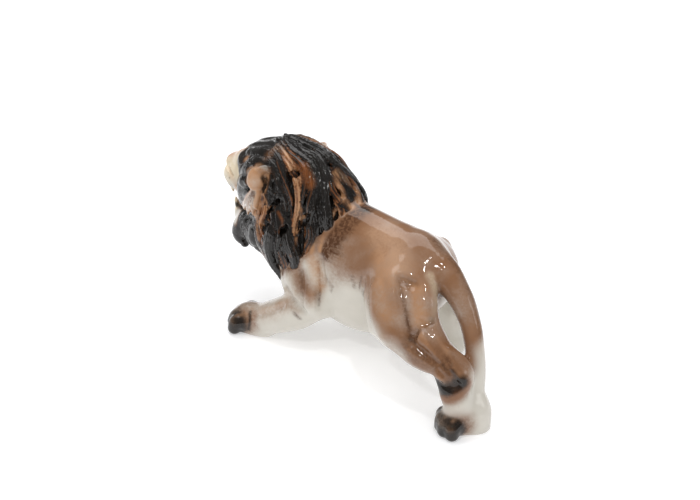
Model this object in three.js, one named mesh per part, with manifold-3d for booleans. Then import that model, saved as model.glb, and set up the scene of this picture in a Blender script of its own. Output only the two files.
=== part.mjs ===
// Porcelain lion, one hollow casting glazed all over, shown as one closed solid.
// Millimetres, +Z up. The lion walks towards -X, its left flank faces -Y, and the ground is Z = 0.
// The form is modelled as clay: rounded masses, tapered limbs and locks of hair are laid on each
// other with soft joins, hollows are pressed in, and the skin of the result is meshed.
import * as THREE from "three";
import { mergeVertices } from "three/addons/utils/BufferGeometryUtils.js";
import Module from "manifold-3d";

// Driving sizes
const CELL = 2.0; // spacing of the sculpting grid
const SKIN_TRIANGLES = 9600; // triangles of the finished skin
const CLAY_LOW = new THREE.Vector3(-200, -84, -20); // corner of the block of clay
const CLAY_HIGH = new THREE.Vector3(168, 84, 192); // opposite corner
const LOCK_WIDTH = 12; // breadth of a large lock of the mane
const LOCK_DEPTH = 8; // thickness of a lock
const LOCK_WAVE = 3.4; // how far a lock sways sideways
const WAVE_TURNS = 3.4; // half waves along a lock
const LONG_LOCKS = 14; // locks combed from the parting down one side
const UNDER_LOCKS = 12; // shorter locks that fill the hem between them
const FACE_LOCKS = 9; // short locks round one half of the face, from the crown to the jaw
const CHEEK_LOCKS = 8; // locks from one cheek into the beard
const FRINGE_LOCKS = 6; // short hair that fans out below an ear
const PAW_TOES = 4;
const TOE_RADIUS = 6.8;
const PORCELAIN = 0x9c8168; // mean colour of the glaze

const v = (x, y, z) => new THREE.Vector3(x, y, z);
const mirrored = (p, side) => v(p.x, p.y * side, p.z);
const lerp = (a, b, t) => a + (b - a) * t;
const clamp = (x, low, high) => Math.min(high, Math.max(low, x));

// A repeatable number from 0 to 1 for each integer seed.
function chance(seed) {
  const s = Math.sin(seed * 12.9898 + 4.1414) * 43758.5453;
  return s - Math.floor(s);
}

// The block of clay: a signed distance at every grid point, negative inside.
const size = CLAY_HIGH.clone().sub(CLAY_LOW).divideScalar(CELL).ceil();
const NX = size.x + 1;
const NY = size.y + 1;
const NZ = size.z + 1;
const clay = new Float32Array(NX * NY * NZ).fill(CELL * 6);

// Polynomial smooth minimum: k is the width of the fillet between the two forms.
function soften(a, b, k) {
  const h = Math.max(k - Math.abs(a - b), 0) / k;
  return Math.min(a, b) - h * h * k * 0.25;
}

// Works on the part of the grid inside box, widened by the fillet.
function work(box, k, distance, combine) {
  const low = box.min.clone().subScalar(k + 3 * CELL).sub(CLAY_LOW).divideScalar(CELL).floor();
  const high = box.max.clone().addScalar(k + 3 * CELL).sub(CLAY_LOW).divideScalar(CELL).ceil();
  const p = v(0, 0, 0);
  for (let z = Math.max(0, low.z); z <= Math.min(NZ - 1, high.z); z += 1) {
    p.z = CLAY_LOW.z + z * CELL;
    for (let y = Math.max(0, low.y); y <= Math.min(NY - 1, high.y); y += 1) {
      p.y = CLAY_LOW.y + y * CELL;
      const row = (z * NY + y) * NX;
      for (let x = Math.max(0, low.x); x <= Math.min(NX - 1, high.x); x += 1) {
        p.x = CLAY_LOW.x + x * CELL;
        clay[row + x] = combine(clay[row + x], distance(p), k);
      }
    }
  }
}

const join = soften;
const press = (a, b, k) => -soften(-a, b, k);

// Distance to an ellipsoid turned by Euler angles in degrees.
function ellipsoid(centre, radii, turn = [0, 0, 0]) {
  const euler = new THREE.Euler(...turn.map(THREE.MathUtils.degToRad));
  const back = new THREE.Quaternion().setFromEuler(euler).invert();
  const q = v(0, 0, 0);
  const box = new THREE.Box3().setFromCenterAndSize(centre, v(2, 2, 2));
  box.expandByScalar(Math.max(...radii));
  const distance = (p) => {
    q.subVectors(p, centre).applyQuaternion(back);
    const k0 = Math.hypot(q.x / radii[0], q.y / radii[1], q.z / radii[2]);
    const k1 = Math.hypot(q.x / radii[0] ** 2, q.y / radii[1] ** 2, q.z / radii[2] ** 2);
    return k1 < 1e-9 ? -Math.min(...radii) : (k0 * (k0 - 1)) / k1;
  };
  return { box, distance };
}

// Distance to a limb: a chain of [x, y, z, radius] stations along a smooth spine, with flat < 1
// making the section thin along the vector across.
function limb(stations, { steps = 6, flat = 1, across = null, smooth = true } = {}) {
  const curve = new THREE.CatmullRomCurve3(stations.map((s) => v(s[0], s[1], s[2])), false, "centripetal");
  const count = smooth ? (stations.length - 1) * steps : stations.length - 1;
  const points = [];
  const radii = [];
  for (let i = 0; i <= count; i += 1) {
    const t = (i / count) * (stations.length - 1);
    const j = Math.min(Math.floor(t), stations.length - 2);
    const f = t - j;
    const ease = smooth ? f * f * (3 - 2 * f) * 0.5 + f * 0.5 : f;
    points.push(smooth ? curve.getPoint(i / count) : v(...stations[i].slice(0, 3)));
    radii.push(lerp(stations[j][3], stations[j + 1][3], ease));
  }
  const box = new THREE.Box3().setFromPoints(points).expandByScalar(Math.max(...radii));
  const d = v(0, 0, 0);
  const segment = v(0, 0, 0);
  const distance = (p) => {
    let best = Infinity;
    for (let i = 0; i < count; i += 1) {
      segment.subVectors(points[i + 1], points[i]);
      d.subVectors(p, points[i]);
      const t = clamp(d.dot(segment) / segment.lengthSq(), 0, 1);
      d.addScaledVector(segment, -t);
      const radius = lerp(radii[i], radii[i + 1], t);
      let gap = d.length() - radius;
      if (flat !== 1) {
        const out = d.dot(across);
        const side = Math.sqrt(Math.max(d.lengthSq() - out * out, 0));
        const k0 = Math.hypot(side / radius, out / (radius * flat));
        const k1 = Math.hypot(side / radius ** 2, out / (radius * flat) ** 2);
        gap = k1 < 1e-9 ? -radius * flat : (k0 * (k0 - 1)) / k1;
      }
      best = Math.min(best, gap);
    }
    return best;
  };
  return { box, distance };
}

function add(form, k) {
  work(form.box, k, form.distance, join);
}

function carve(form, k) {
  work(form.box, k, form.distance, press);
}

// Trunk: ribs, slung belly, loin, rump and chest
const trunk = [
  [v(-28, 0, 84), [60, 38, 49], 12],
  [v(-14, 0, 64), [58, 40, 42], 18],
  [v(20, 0, 93), [50, 33, 38], 16],
  [v(40, 0, 96), [35, 28, 32], 16],
  [v(-62, 0, 78), [32, 34, 42], 14],
];

function sculptTrunk() {
  for (const [centre, radii, k] of trunk) add(ellipsoid(centre, radii), k);
  add(limb([[-60, 0, 116, 16], [-20, 0, 120, 14], [20, 0, 119, 13], [50, 0, 118, 14]]), 16);
}

// A paw on flat ground: pad, knuckles and toes fanned about the heading, with grooves between.
function sculptPaw(heel, heading, width, length) {
  const ahead = v(Math.cos(heading), Math.sin(heading), 0);
  const aside = v(-Math.sin(heading), Math.cos(heading), 0);
  const at = (f, s, z) => heel.clone().addScaledVector(ahead, f).addScaledVector(aside, s).setZ(z);
  add(limb([[...at(2, 0, 10), width * 0.36], [...at(length * 0.5, 0, 10), width * 0.42]]), 8);
  for (let i = 0; i < PAW_TOES; i += 1) {
    const s = (i - (PAW_TOES - 1) / 2) / (PAW_TOES - 1);
    const reach = length * (1 - 0.22 * s * s * 4 * 0.8);
    const spread = s * (width - TOE_RADIUS * 1.2);
    add(limb([
      [...at(length * 0.42, spread * 0.72, 13), TOE_RADIUS * 0.9],
      [...at(reach * 0.78, spread * 0.95, 11.5), TOE_RADIUS * 1.02],
      [...at(reach - TOE_RADIUS * 0.6, spread, 5.4), TOE_RADIUS * 0.9],
    ]), 2.6);
  }
}

// Left fore leg, stretched ahead, and right fore leg, set back
function sculptForeLegs() {
  add(limb([[-50, -24, 84, 16], [-50, -33, 70, 17.5], [-36, -38, 58, 17]]), 9);
  add(ellipsoid(v(-58, -40, 62), [15, 11, 15], [0, 30, 0]), 6);
  add(limb([[-34, -40, 55, 16], [-54, -44, 38, 17.5], [-76, -48, 23, 15.5], [-94, -50, 13, 13]]), 6);
  add(limb([[-50, 24, 84, 17], [-46, 34, 70, 17.5], [-34, 38, 58, 16]]), 9);
  add(limb([[-34, 39, 58, 15.5], [-42, 42, 42, 14], [-50, 43, 26, 12.5], [-54, 43, 16, 12.5]]), 6);
  sculptPaw(v(-88, -49, 0), THREE.MathUtils.degToRad(194), 35, 36);
  sculptPaw(v(-48, 45, 0), THREE.MathUtils.degToRad(172), 34, 34);
}

// Hind legs: the left one pushes off behind, the right one is under the body
function sculptHindLegs() {
  add(limb([[46, -17, 98, 27], [51, -29, 87, 27], [56, -36, 76, 23]]), 12);
  add(limb([[58, -38, 76, 21], [84, -41, 66, 19], [108, -40, 60, 15], [122, -39, 52, 13.5]]), 9);
  add(limb([[119, -40, 54, 14], [122, -41, 38, 13.5], [128, -40, 20, 12.5], [128, -40, 12, 12.5]]), 7);
  sculptPaw(v(131, -35, 0), THREE.MathUtils.degToRad(240), 29, 26);
  add(limb([[42, 16, 96, 26], [34, 27, 82, 25], [26, 33, 67, 21]]), 12);
  add(limb([[24, 34, 67, 19], [38, 36, 54, 15], [49, 38, 42, 12.5]]), 8);
  add(limb([[50, 38, 44, 12.5], [52, 39, 26, 11], [50, 41, 13, 12]]), 6);
  sculptPaw(v(57, 42, 0), THREE.MathUtils.degToRad(176), 31, 33);
}

// Tail: from the rump in one long arc down to the left hind foot, where its tuft is fused
const tail = [
  [44, 0, 118, 18], [70, -1, 115, 14.5], [93, -4, 101, 11], [109, -8, 83, 8.8], [120, -14, 63, 8],
  [126, -19, 45, 8], [129, -24, 31, 8.6], [135, -28, 16, 12.5], [135, -28, 2, 12.5],
];

function sculptTail() {
  add(limb(tail), 7);
}

// The clay's distance at a point between grid nodes
const CORNERS = [0, 1, 2, 3, 4, 5, 6, 7].map((c) => [c & 1, (c >> 1) & 1, (c >> 2) & 1]);

function sample(p) {
  const place = p.clone().sub(CLAY_LOW).divideScalar(CELL);
  const base = place.clone().floor();
  place.sub(base);
  return CORNERS.reduce((sum, [x, y, z]) => {
    const share = (x ? place.x : 1 - place.x) * (y ? place.y : 1 - place.y) * (z ? place.z : 1 - place.z);
    return sum + share * clay[((base.z + z) * NY + base.y + y) * NX + base.x + x];
  }, 0);
}

// The stations of a line moved onto the skin, then sunk into it by a share of their radius.
function onSkin(stations, sink) {
  const slope = (p, axis) => sample(p.clone().add(axis)) - sample(p.clone().sub(axis));
  return stations.map(([x, y, z, radius]) => {
    const p = v(x, y, z);
    const out = v(0, 0, 0);
    for (let i = 0; i < 8; i += 1) {
      out.set(slope(p, v(CELL, 0, 0)), slope(p, v(0, CELL, 0)), slope(p, v(0, 0, CELL))).normalize();
      p.addScaledVector(out, -clamp(sample(p), -3, 3));
    }
    return [...p.addScaledVector(out, -sink * radius).toArray(), radius];
  });
}

// Muscles and creases, as lines of [x, y, z, radius]: raised where a muscle stands out, pressed in
// along a fold of skin
const hamstring = [[70, -21, 112, 9], [77, -28, 101, 10.5], [83, -34, 88, 11], [93, -38, 76, 11]];
const raised = [
  [[50, -35, 112, 6], [62, -42, 100, 6.5], [72, -47, 87, 5]],
  [[40, -46, 102, 6], [50, -54, 88, 7], [60, -57, 76, 6]],
  [[88, -46, 84, 5], [98, -46, 78, 6], [110, -44, 70, 5]],
  [[22, -38, 96, 4], [31, -48, 82, 5], [38, -55, 68, 5]],
  [[-56, -44, 72, 6], [-44, -48, 64, 6]],
  [[-40, -42, 90, 6], [-32, -47, 74, 6.5], [-30, -47, 58, 5]],
  [[42, 32, 106, 6], [40, 40, 92, 6.5], [34, 44, 78, 5]],
  [[-38, 42, 88, 6], [-31, 46, 74, 6], [-28, 46, 60, 5]],
];
const pressed = [
  [[55, -36, 116, 2], [66, -46, 105, 3.2], [76, -50, 91, 3.4], [84, -54, 81, 2.8]],
  [[58, -32, 116, 2], [66, -27, 114, 3], [72, -22, 112, 1.6]],
  [[93, -38, 92, 1.4], [88, -46, 87, 2.6], [84, -52, 80, 2.6]],
  [[20, -40, 98, 0.8], [20, -44, 82, 2], [23, -46, 66, 2]],
  [[87, -58, 78, 1.6], [97, -57, 74, 2.4], [112, -54, 67, 1.6]],
  [[-31, -43, 100, 0.8], [-24, -48, 85, 2], [-19, -52, 72, 2], [-16, -53, 60, 1]],
  [[-48, -48, 84, 1], [-41, -54, 72, 2.2], [-38, -56, 60, 1.4]],
  [[-53, -61, 60, 1], [-43, -63, 56, 2.4], [-34, -61, 52, 1.8]],
  [[-60, -62, 50, 0.8], [-74, -65, 38, 1.6], [-88, -64, 26, 0.8]],
  [[104, -53, 48, 1], [120, -59, 49, 2.4], [136, -53, 52, 1.6]],
  [[113, -55, 62, 0.8], [122, -56, 58, 1.8], [128, -54, 50, 1.4]],
  [[20, 41, 98, 0.8], [14, 45, 82, 2], [8, 45, 66, 1.4]],
  [[56, 35, 106, 1], [54, 44, 93, 2.6], [46, 50, 80, 2]],
  [[-33, 43, 98, 1], [-26, 47, 84, 2.2], [-20, 50, 70, 2]],
];

function sculptMuscles() {
  add(limb(hamstring), 5);
  for (const line of raised) add(limb(onSkin(line, 0.6)), 7);
  for (const line of pressed) carve(limb(onSkin(line, 0)), 5);
  carve(ellipsoid(v(-12, -50, 78), [6, 6, 10]), 10);
  carve(ellipsoid(v(85, -60, 78), [5, 5, 4]), 5);
}

// Head: skull, bridge of the nose, whisker pads, cheeks, dropped jaw and the open mouth
function sculptHead() {
  add(ellipsoid(v(-121, 0, 132), [27, 28, 25]), 8);
  add(limb([[-134, 0, 136, 18], [-150, 0, 131, 14.5], [-165, 0, 127, 9.5]]), 8);
  add(ellipsoid(v(-150, 0, 118), [22, 17, 12], [0, -6, 0]), 6);
  add(limb([[-114, 0, 93, 17], [-138, 0, 84, 13.5], [-155, 0, 80, 10]]), 6);
  add(ellipsoid(v(-159, 0, 79), [9, 12, 8.5]), 4);
  for (const side of [-1, 1]) {
    add(ellipsoid(v(-161, 9 * side, 118), [13, 9.5, 11.5], [0, 10, 0]), 3);
    add(limb([[-158, 14 * side, 114, 5], [-146, 18 * side, 114, 5], [-136, 22 * side, 108, 6]]), 5);
    add(limb([[-142, 5 * side, 148, 6], [-145, 13 * side, 143.5, 6], [-134, 23 * side, 140, 6]]), 4);
    add(ellipsoid(v(-128, 22 * side, 121), [15, 10, 15]), 6);
    carve(ellipsoid(v(-150, 15 * side, 135), [7, 4, 4], [0, -25, 0]), 2.5);
    add(ellipsoid(v(-147.5, 14 * side, 135.5), [4, 3.5, 3.2]), 1);
  }
  sculptEar(v(-107, -35, 147), -1);
  sculptEar(v(-99, 36, 143), 1);
  add(ellipsoid(v(-171, 0, 127), [6.5, 10, 6]), 2);
  carve(limb([[-146, 0, 150, 2], [-158, 0, 143, 1.6]]), 5);
  carve(ellipsoid(v(-157, 0, 98), [28, 14, 9.5], [0, 12, 0]), 2.5);
  carve(ellipsoid(v(-166, 0, 99), [30, 36, 10], [0, -6, 0]), 3);
  add(limb([[-134, 0, 90, 8], [-148, 0, 89, 7.5], [-158, 0, 88, 5]], { flat: 0.5, across: v(0, 0, 1) }), 2);
}

// A round ear, full behind and hollow in front, with a fold running back from its top
function sculptEar(centre, side) {
  const { x, y, z } = centre;
  add(ellipsoid(centre, [7.5, 10.5, 12], [0, 0, 14 * side]), 2);
  carve(ellipsoid(v(x - 7.5, y + 1.5 * side, z), [4.5, 7, 8], [0, 0, 14 * side]), 1.5);
  const fold = [[1, 4, 9.5, 2.4], [6, -3, 11, 3.2], [12, -9, 8, 2.6]];
  add(limb(fold.map(([dx, dy, dz, r]) => [x + dx, y + dy * side, z + dz, r])), 1.5);
}

// Mane: a broad ruff over neck and shoulders
const ruff = [
  [v(-104, 0, 134), [29, 32, 36]],
  [v(-76, 0, 125), [36, 30, 42]],
  [v(-88, 0, 98), [40, 38, 38]],
  [v(-128, 0, 78), [25, 22, 22]],
  [v(-48, 0, 118), [24, 25, 28]],
  [v(-72, -24, 86), [28, 22, 33]],
  [v(-72, 24, 86), [28, 22, 33]],
];
const ruffForms = ruff.map(([centre, radii]) => ellipsoid(centre, radii));
const ruffDistance = (p) => ruffForms.reduce((d, form) => soften(d, form.distance(p), 12), 1e3);

// Moves a point onto the ruff, then out by lift.
function onRuff(p, lift) {
  const q = p.clone();
  const step = 0.5;
  for (let i = 0; i < 6; i += 1) {
    const d = ruffDistance(q);
    const slope = v(
      ruffDistance(v(q.x + step, q.y, q.z)) - d,
      ruffDistance(v(q.x, q.y + step, q.z)) - d,
      ruffDistance(v(q.x, q.y, q.z + step)) - d,
    ).normalize();
    q.addScaledVector(slope, lift - d);
  }
  return q;
}

const curve = (...points) => new THREE.CatmullRomCurve3(points.map((p) => v(...p)));

// Guide lines across one side, from the face back to the crest. A lock is combed from its root over
// the shoulder and the fall of the mane to its tip.
const combed = {
  roots: curve(
    [-112, 40, 137], [-100, 33, 143], [-104, 23, 163], [-104, 9, 171], [-100, 3, 172], [-108, 3, 164],
  ),
  shoulders: curve(
    [-127, 33, 115], [-98, 37, 129], [-84, 27, 151], [-71, 18, 161], [-58, 9, 165], [-57, 3, 164],
  ),
  falls: curve(
    [-137, 27, 90], [-95, 41, 106], [-70, 39, 119], [-57, 32, 128], [-41, 25, 135], [-34, 3, 147],
  ),
  tips: curve([-148, 20, 63], [-84, 47, 84], [-66, 47, 78], [-53, 46, 82], [-42, 39, 94], [-11, 3, 138]),
};
const hemLine = curve(
  [-112, 36, 56], [-92, 42, 52], [-68, 46, 52], [-48, 48, 70], [-34, 42, 98], [-22, 26, 122], [-6, 5, 138],
);
const cheekLine = curve([-148, 12, 84], [-138, 24, 104], [-126, 31, 122], [-112, 35, 128], [-98, 38, 134]);
const beardLine = curve([-154, 6, 60], [-144, 18, 58], [-126, 30, 57], [-106, 40, 54], [-84, 45, 50]);
const fringeLine = curve([-134, 26, 101], [-126, 31, 102], [-115, 37, 107], [-104, 40, 115]);
const FRINGE_ROOT = v(-106, 39, 136);

// The comb line at share u of the way from the face to the crest, from share start to share end.
function flow(u, start, end) {
  const line = new THREE.CatmullRomCurve3(Object.values(combed).map((guide) => guide.getPoint(u)));
  return (t) => line.getPoint(lerp(start, end, t));
}

const straight = (a, b) => (t) => a.clone().lerp(b, t);

// Stations of a path that follows a guide over the ruff at a height above it, waving sideways.
function overRuff(guide, lift, phase, bends = 7) {
  return Array.from({ length: bends + 1 }, (_, i) => {
    const t = i / bends;
    const p = guide(t);
    const seat = onRuff(p, 0);
    const out = onRuff(p, 4).sub(seat).normalize();
    const run = guide(Math.min(1, t + 1 / bends)).sub(guide(Math.max(0, t - 1 / bends)));
    const aside = out.clone().cross(run).normalize();
    const sway = Math.sin(t * Math.PI * WAVE_TURNS + phase) * LOCK_WAVE * (0.3 + 0.7 * t);
    const height = lift * Math.sin(Math.PI * (0.15 + 0.75 * t));
    return { t, out, place: onRuff(p, height).addScaledVector(aside, sway) };
  });
}

// One lock of hair on each side, broad in the middle and tapering to its tip.
function lock(guide, width, lift, phase) {
  const path = overRuff(guide, lift, phase);
  for (const side of [-1, 1]) {
    const stations = path.map(({ t, place }) => {
      const belly = 0.6 + 0.4 * Math.sin(Math.PI * Math.min(1, t * 1.2 + 0.1));
      return [...mirrored(place, side).toArray(), width * 0.5 * belly * (t > 0.9 ? 0.5 : 1)];
    });
    const across = mirrored(path[4].out, side);
    add(limb(stations, { steps: 3, flat: LOCK_DEPTH / LOCK_WIDTH, across }), 2);
  }
}

// A parting pressed in between two locks on each side.
function parting(guide, radius, phase) {
  const path = overRuff(guide, radius, phase);
  for (const side of [-1, 1]) {
    const stations = path.map(({ t, place }) => [
      ...mirrored(place, side).toArray(),
      radius * Math.sin(Math.PI * (0.12 + 0.76 * t)),
    ]);
    carve(limb(stations, { steps: 3 }), 2.4);
  }
}

// Short locks that frame the face, swept back from it; those before the ear are shorter.
function sculptFaceLocks(side) {
  for (let i = 0; i < FACE_LOCKS; i += 1) {
    const turn = Math.PI * lerp(0.05, 0.82, i / (FACE_LOCKS - 1));
    const aside = Math.sin(turn) * side;
    const up = Math.cos(turn);
    const root = -134 - 6 * up * up;
    const tip = i === 3 || i === 4 ? -119 : -104;
    add(limb([
      [root - 5, 24 * aside, 123 + 24 * up, 2.5],
      [root + 3, 27 * aside, 125 + 28 * up, 5.5],
      [lerp(root, tip, 0.6), 32 * aside, 129 + 32.5 * up, 6.5],
      [tip, 36 * aside, 132 + 35 * up, 4],
    ]), 4);
  }
}

// Short hair that fans forward and down from below an ear
function sculptFringe(side) {
  for (let i = 0; i < FRINGE_LOCKS; i += 1) {
    const share = i / (FRINGE_LOCKS - 1);
    const tip = fringeLine.getPoint(share).add(v(0, 0, 4 * (i % 2)));
    const root = FRINGE_ROOT.clone().add(v(share * 4 - 2, 0, 0));
    const middle = root.clone().lerp(tip, 0.5).add(v(0, 2.5, 0));
    const line = [[root, 3.4], [middle, 3.4], [tip, 1]];
    add(limb(line.map(([p, r]) => [...mirrored(p, side).toArray(), r])), 1);
  }
}

// Deep hollows between the locks
const hollows = [
  [v(-74, 23, 159), [4, 3.5, 9]],
  [v(-86, 36, 128), [3, 3.5, 11]],
  [v(-70, 42, 112), [3, 3.5, 8]],
  [v(-92, 42, 104), [3, 3.5, 9]],
  [v(-54, 32, 126), [3, 3, 8]],
];

function sculptMane() {
  for (const form of ruffForms) add(form, 10);
  for (const side of [-1, 1]) sculptFaceLocks(side);
  for (let i = 0; i < UNDER_LOCKS; i += 1) {
    const t = (i + 0.5) / UNDER_LOCKS;
    const top = combed.shoulders.getPoint(t).lerp(combed.falls.getPoint(t), 0.6);
    const tip = hemLine.getPoint(t).sub(top).multiplyScalar(1.03).add(top);
    lock(straight(top, tip), LOCK_WIDTH, 0.4 + 2.4 * (i % 2), 9 * t + chance(40 + i));
  }
  for (let i = 0; i < CHEEK_LOCKS; i += 1) {
    const t = i / (CHEEK_LOCKS - 1);
    lock(straight(cheekLine.getPoint(t), beardLine.getPoint(t)), LOCK_WIDTH * 0.8, 1.4, 2.5 * i);
  }
  for (let i = 0; i < LONG_LOCKS; i += 1) {
    const u = i / (LONG_LOCKS - 1);
    lock(flow(u, 0, 0.84 + 0.16 * chance(11 + i)), LOCK_WIDTH, 1.4 + 2.6 * chance(60 + i), 9 * u);
  }
  for (let i = 0; i < LONG_LOCKS - 1; i += 1) {
    const u = (i + 0.5) / (LONG_LOCKS - 1);
    parting(flow(u, 0.1, 0.75 + 0.24 * chance(31 + i)), 3.6, 9 * u);
  }
  for (const side of [-1, 1]) {
    for (const [centre, radii] of hollows) carve(ellipsoid(mirrored(centre, side), radii, [0, 30, 0]), 2.5);
    sculptBeard(side);
    sculptFringe(side);
  }
}

// The beard below the chin: one mass, drawn out into tufts at its lower edge
const beardTufts = [
  [[-150, 4, 77, 11], [-156, 6, 66, 9.5], [-152, 7, 55, 4]],
  [[-144, 11, 76, 12], [-150, 15, 66, 9.5], [-146, 16, 55, 4]],
  [[-129, 15, 77, 12], [-130, 18, 70, 9], [-124, 18, 61, 4]],
  [[-117, 22, 80, 13], [-116, 25, 74, 8], [-109, 25, 65, 4]],
];

function sculptBeard(side) {
  for (const tuft of beardTufts) add(limb(tuft.map(([x, y, z, r]) => [x, y * side, z, r])), 5);
}

sculptTrunk();
sculptHindLegs();
sculptTail();
sculptForeLegs();
sculptMuscles();
sculptMane();
sculptHead();

// Grid cells whose inside or outside corners don't hang together are filled, so that the skin
// never meets itself at an edge or a point.
function hangsTogether(mask, wanted) {
  const members = CORNERS.map((_, c) => c).filter((c) => ((mask >> c) & 1) === wanted);
  if (members.length === 0) return true;
  const seen = new Set([members[0]]);
  const queue = [members[0]];
  while (queue.length > 0) {
    const c = queue.pop();
    for (const bit of [1, 2, 4]) {
      const n = c ^ bit;
      if (((mask >> n) & 1) === wanted && !seen.has(n)) {
        seen.add(n);
        queue.push(n);
      }
    }
  }
  return seen.size === members.length;
}

// True where a face of the cell has its two diagonals on opposite sides of the skin.
function crossed(mask) {
  const on = (c) => (mask >> c) & 1;
  for (const [a, b] of [[1, 2], [1, 4], [2, 4]]) {
    for (let c = 0; c < 8; c += 1) {
      if (on(c) === on(c ^ a ^ b) && on(c ^ a) === on(c ^ b) && on(c) !== on(c ^ a)) return true;
    }
  }
  return false;
}

const sound = Array.from(
  { length: 256 },
  (_, mask) => hangsTogether(mask, 1) && hangsTogether(mask, 0) && !crossed(mask),
);
const cornerStep = CORNERS.map(([x, y, z]) => (z * NY + y) * NX + x);

function maskAt(cell) {
  let mask = 0;
  for (let c = 0; c < 8; c += 1) if (clay[cell + cornerStep[c]] < 0) mask |= 1 << c;
  return mask;
}

function fillUnsoundCells() {
  let changed = true;
  while (changed) {
    changed = false;
    for (let z = 0; z < NZ - 1; z += 1) {
      for (let y = 0; y < NY - 1; y += 1) {
        for (let x = 0; x < NX - 1; x += 1) {
          const cell = (z * NY + y) * NX + x;
          while (!sound[maskAt(cell)]) {
            const outside = cornerStep.filter((s) => clay[cell + s] >= 0);
            outside.sort((a, b) => clay[cell + a] - clay[cell + b]);
            clay[cell + outside[0]] = -CELL * 0.05;
            changed = true;
          }
        }
      }
    }
  }
}

// Hollows that the air around the clay can't reach are filled.
function fillSealedHollows() {
  const strides = [1, NX, NX * NY];
  const reached = new Uint8Array(clay.length);
  const stack = [0];
  reached[0] = 1;
  while (stack.length > 0) {
    const cell = stack.pop();
    for (const step of [...strides, ...strides.map((s) => -s)]) {
      const next = cell + step;
      if (next < 0 || next >= clay.length || reached[next] || clay[next] < 0) continue;
      reached[next] = 1;
      stack.push(next);
    }
  }
  for (let i = 0; i < clay.length; i += 1) if (!reached[i] && clay[i] >= 0) clay[i] = -CELL * 0.5;
}

// Surface nets: one vertex in each cell that the skin crosses, at the mean of its edge crossings.
const CELL_EDGES = [];
for (let c = 0; c < 8; c += 1) for (const bit of [1, 2, 4]) if (!(c & bit)) CELL_EDGES.push([c, c | bit]);

function skin() {
  fillSealedHollows();
  fillUnsoundCells();
  fillSealedHollows();
  const vertexOf = new Int32Array(clay.length).fill(-1);
  const points = [];
  const faces = [];
  for (let z = 0; z < NZ - 1; z += 1) {
    for (let y = 0; y < NY - 1; y += 1) {
      for (let x = 0; x < NX - 1; x += 1) {
        const cell = (z * NY + y) * NX + x;
        const mask = maskAt(cell);
        if (mask === 0 || mask === 255) continue;
        const sum = [0, 0, 0];
        let count = 0;
        for (const [a, b] of CELL_EDGES) {
          const fa = clay[cell + cornerStep[a]];
          const fb = clay[cell + cornerStep[b]];
          if (fa < 0 === fb < 0) continue;
          const t = fa / (fa - fb);
          for (let i = 0; i < 3; i += 1) sum[i] += lerp(CORNERS[a][i], CORNERS[b][i], t);
          count += 1;
        }
        vertexOf[cell] = points.length;
        const place = v(...sum).divideScalar(count).add(v(x, y, z));
        points.push(place.multiplyScalar(CELL).add(CLAY_LOW));
      }
    }
  }
  const stride = [1, NX, NX * NY];
  for (let z = 1; z < NZ - 1; z += 1) {
    for (let y = 1; y < NY - 1; y += 1) {
      for (let x = 1; x < NX - 1; x += 1) {
        const cell = (z * NY + y) * NX + x;
        for (let axis = 0; axis < 3; axis += 1) {
          const inside = clay[cell] < 0;
          if (inside === clay[cell + stride[axis]] < 0) continue;
          const u = stride[(axis + 1) % 3];
          const w = stride[(axis + 2) % 3];
          const ring = [cell, cell - u, cell - u - w, cell - w].map((c) => vertexOf[c]);
          if (inside) ring.reverse();
          const [p0, p1, p2, p3] = ring.map((i) => points[i]);
          const r = p0.distanceTo(p2) <= p1.distanceTo(p3) ? ring : [ring[1], ring[2], ring[3], ring[0]];
          faces.push([r[2], r[1], r[0]], [r[3], r[2], r[0]]);
        }
      }
    }
  }
  return { points, faces };
}

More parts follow.
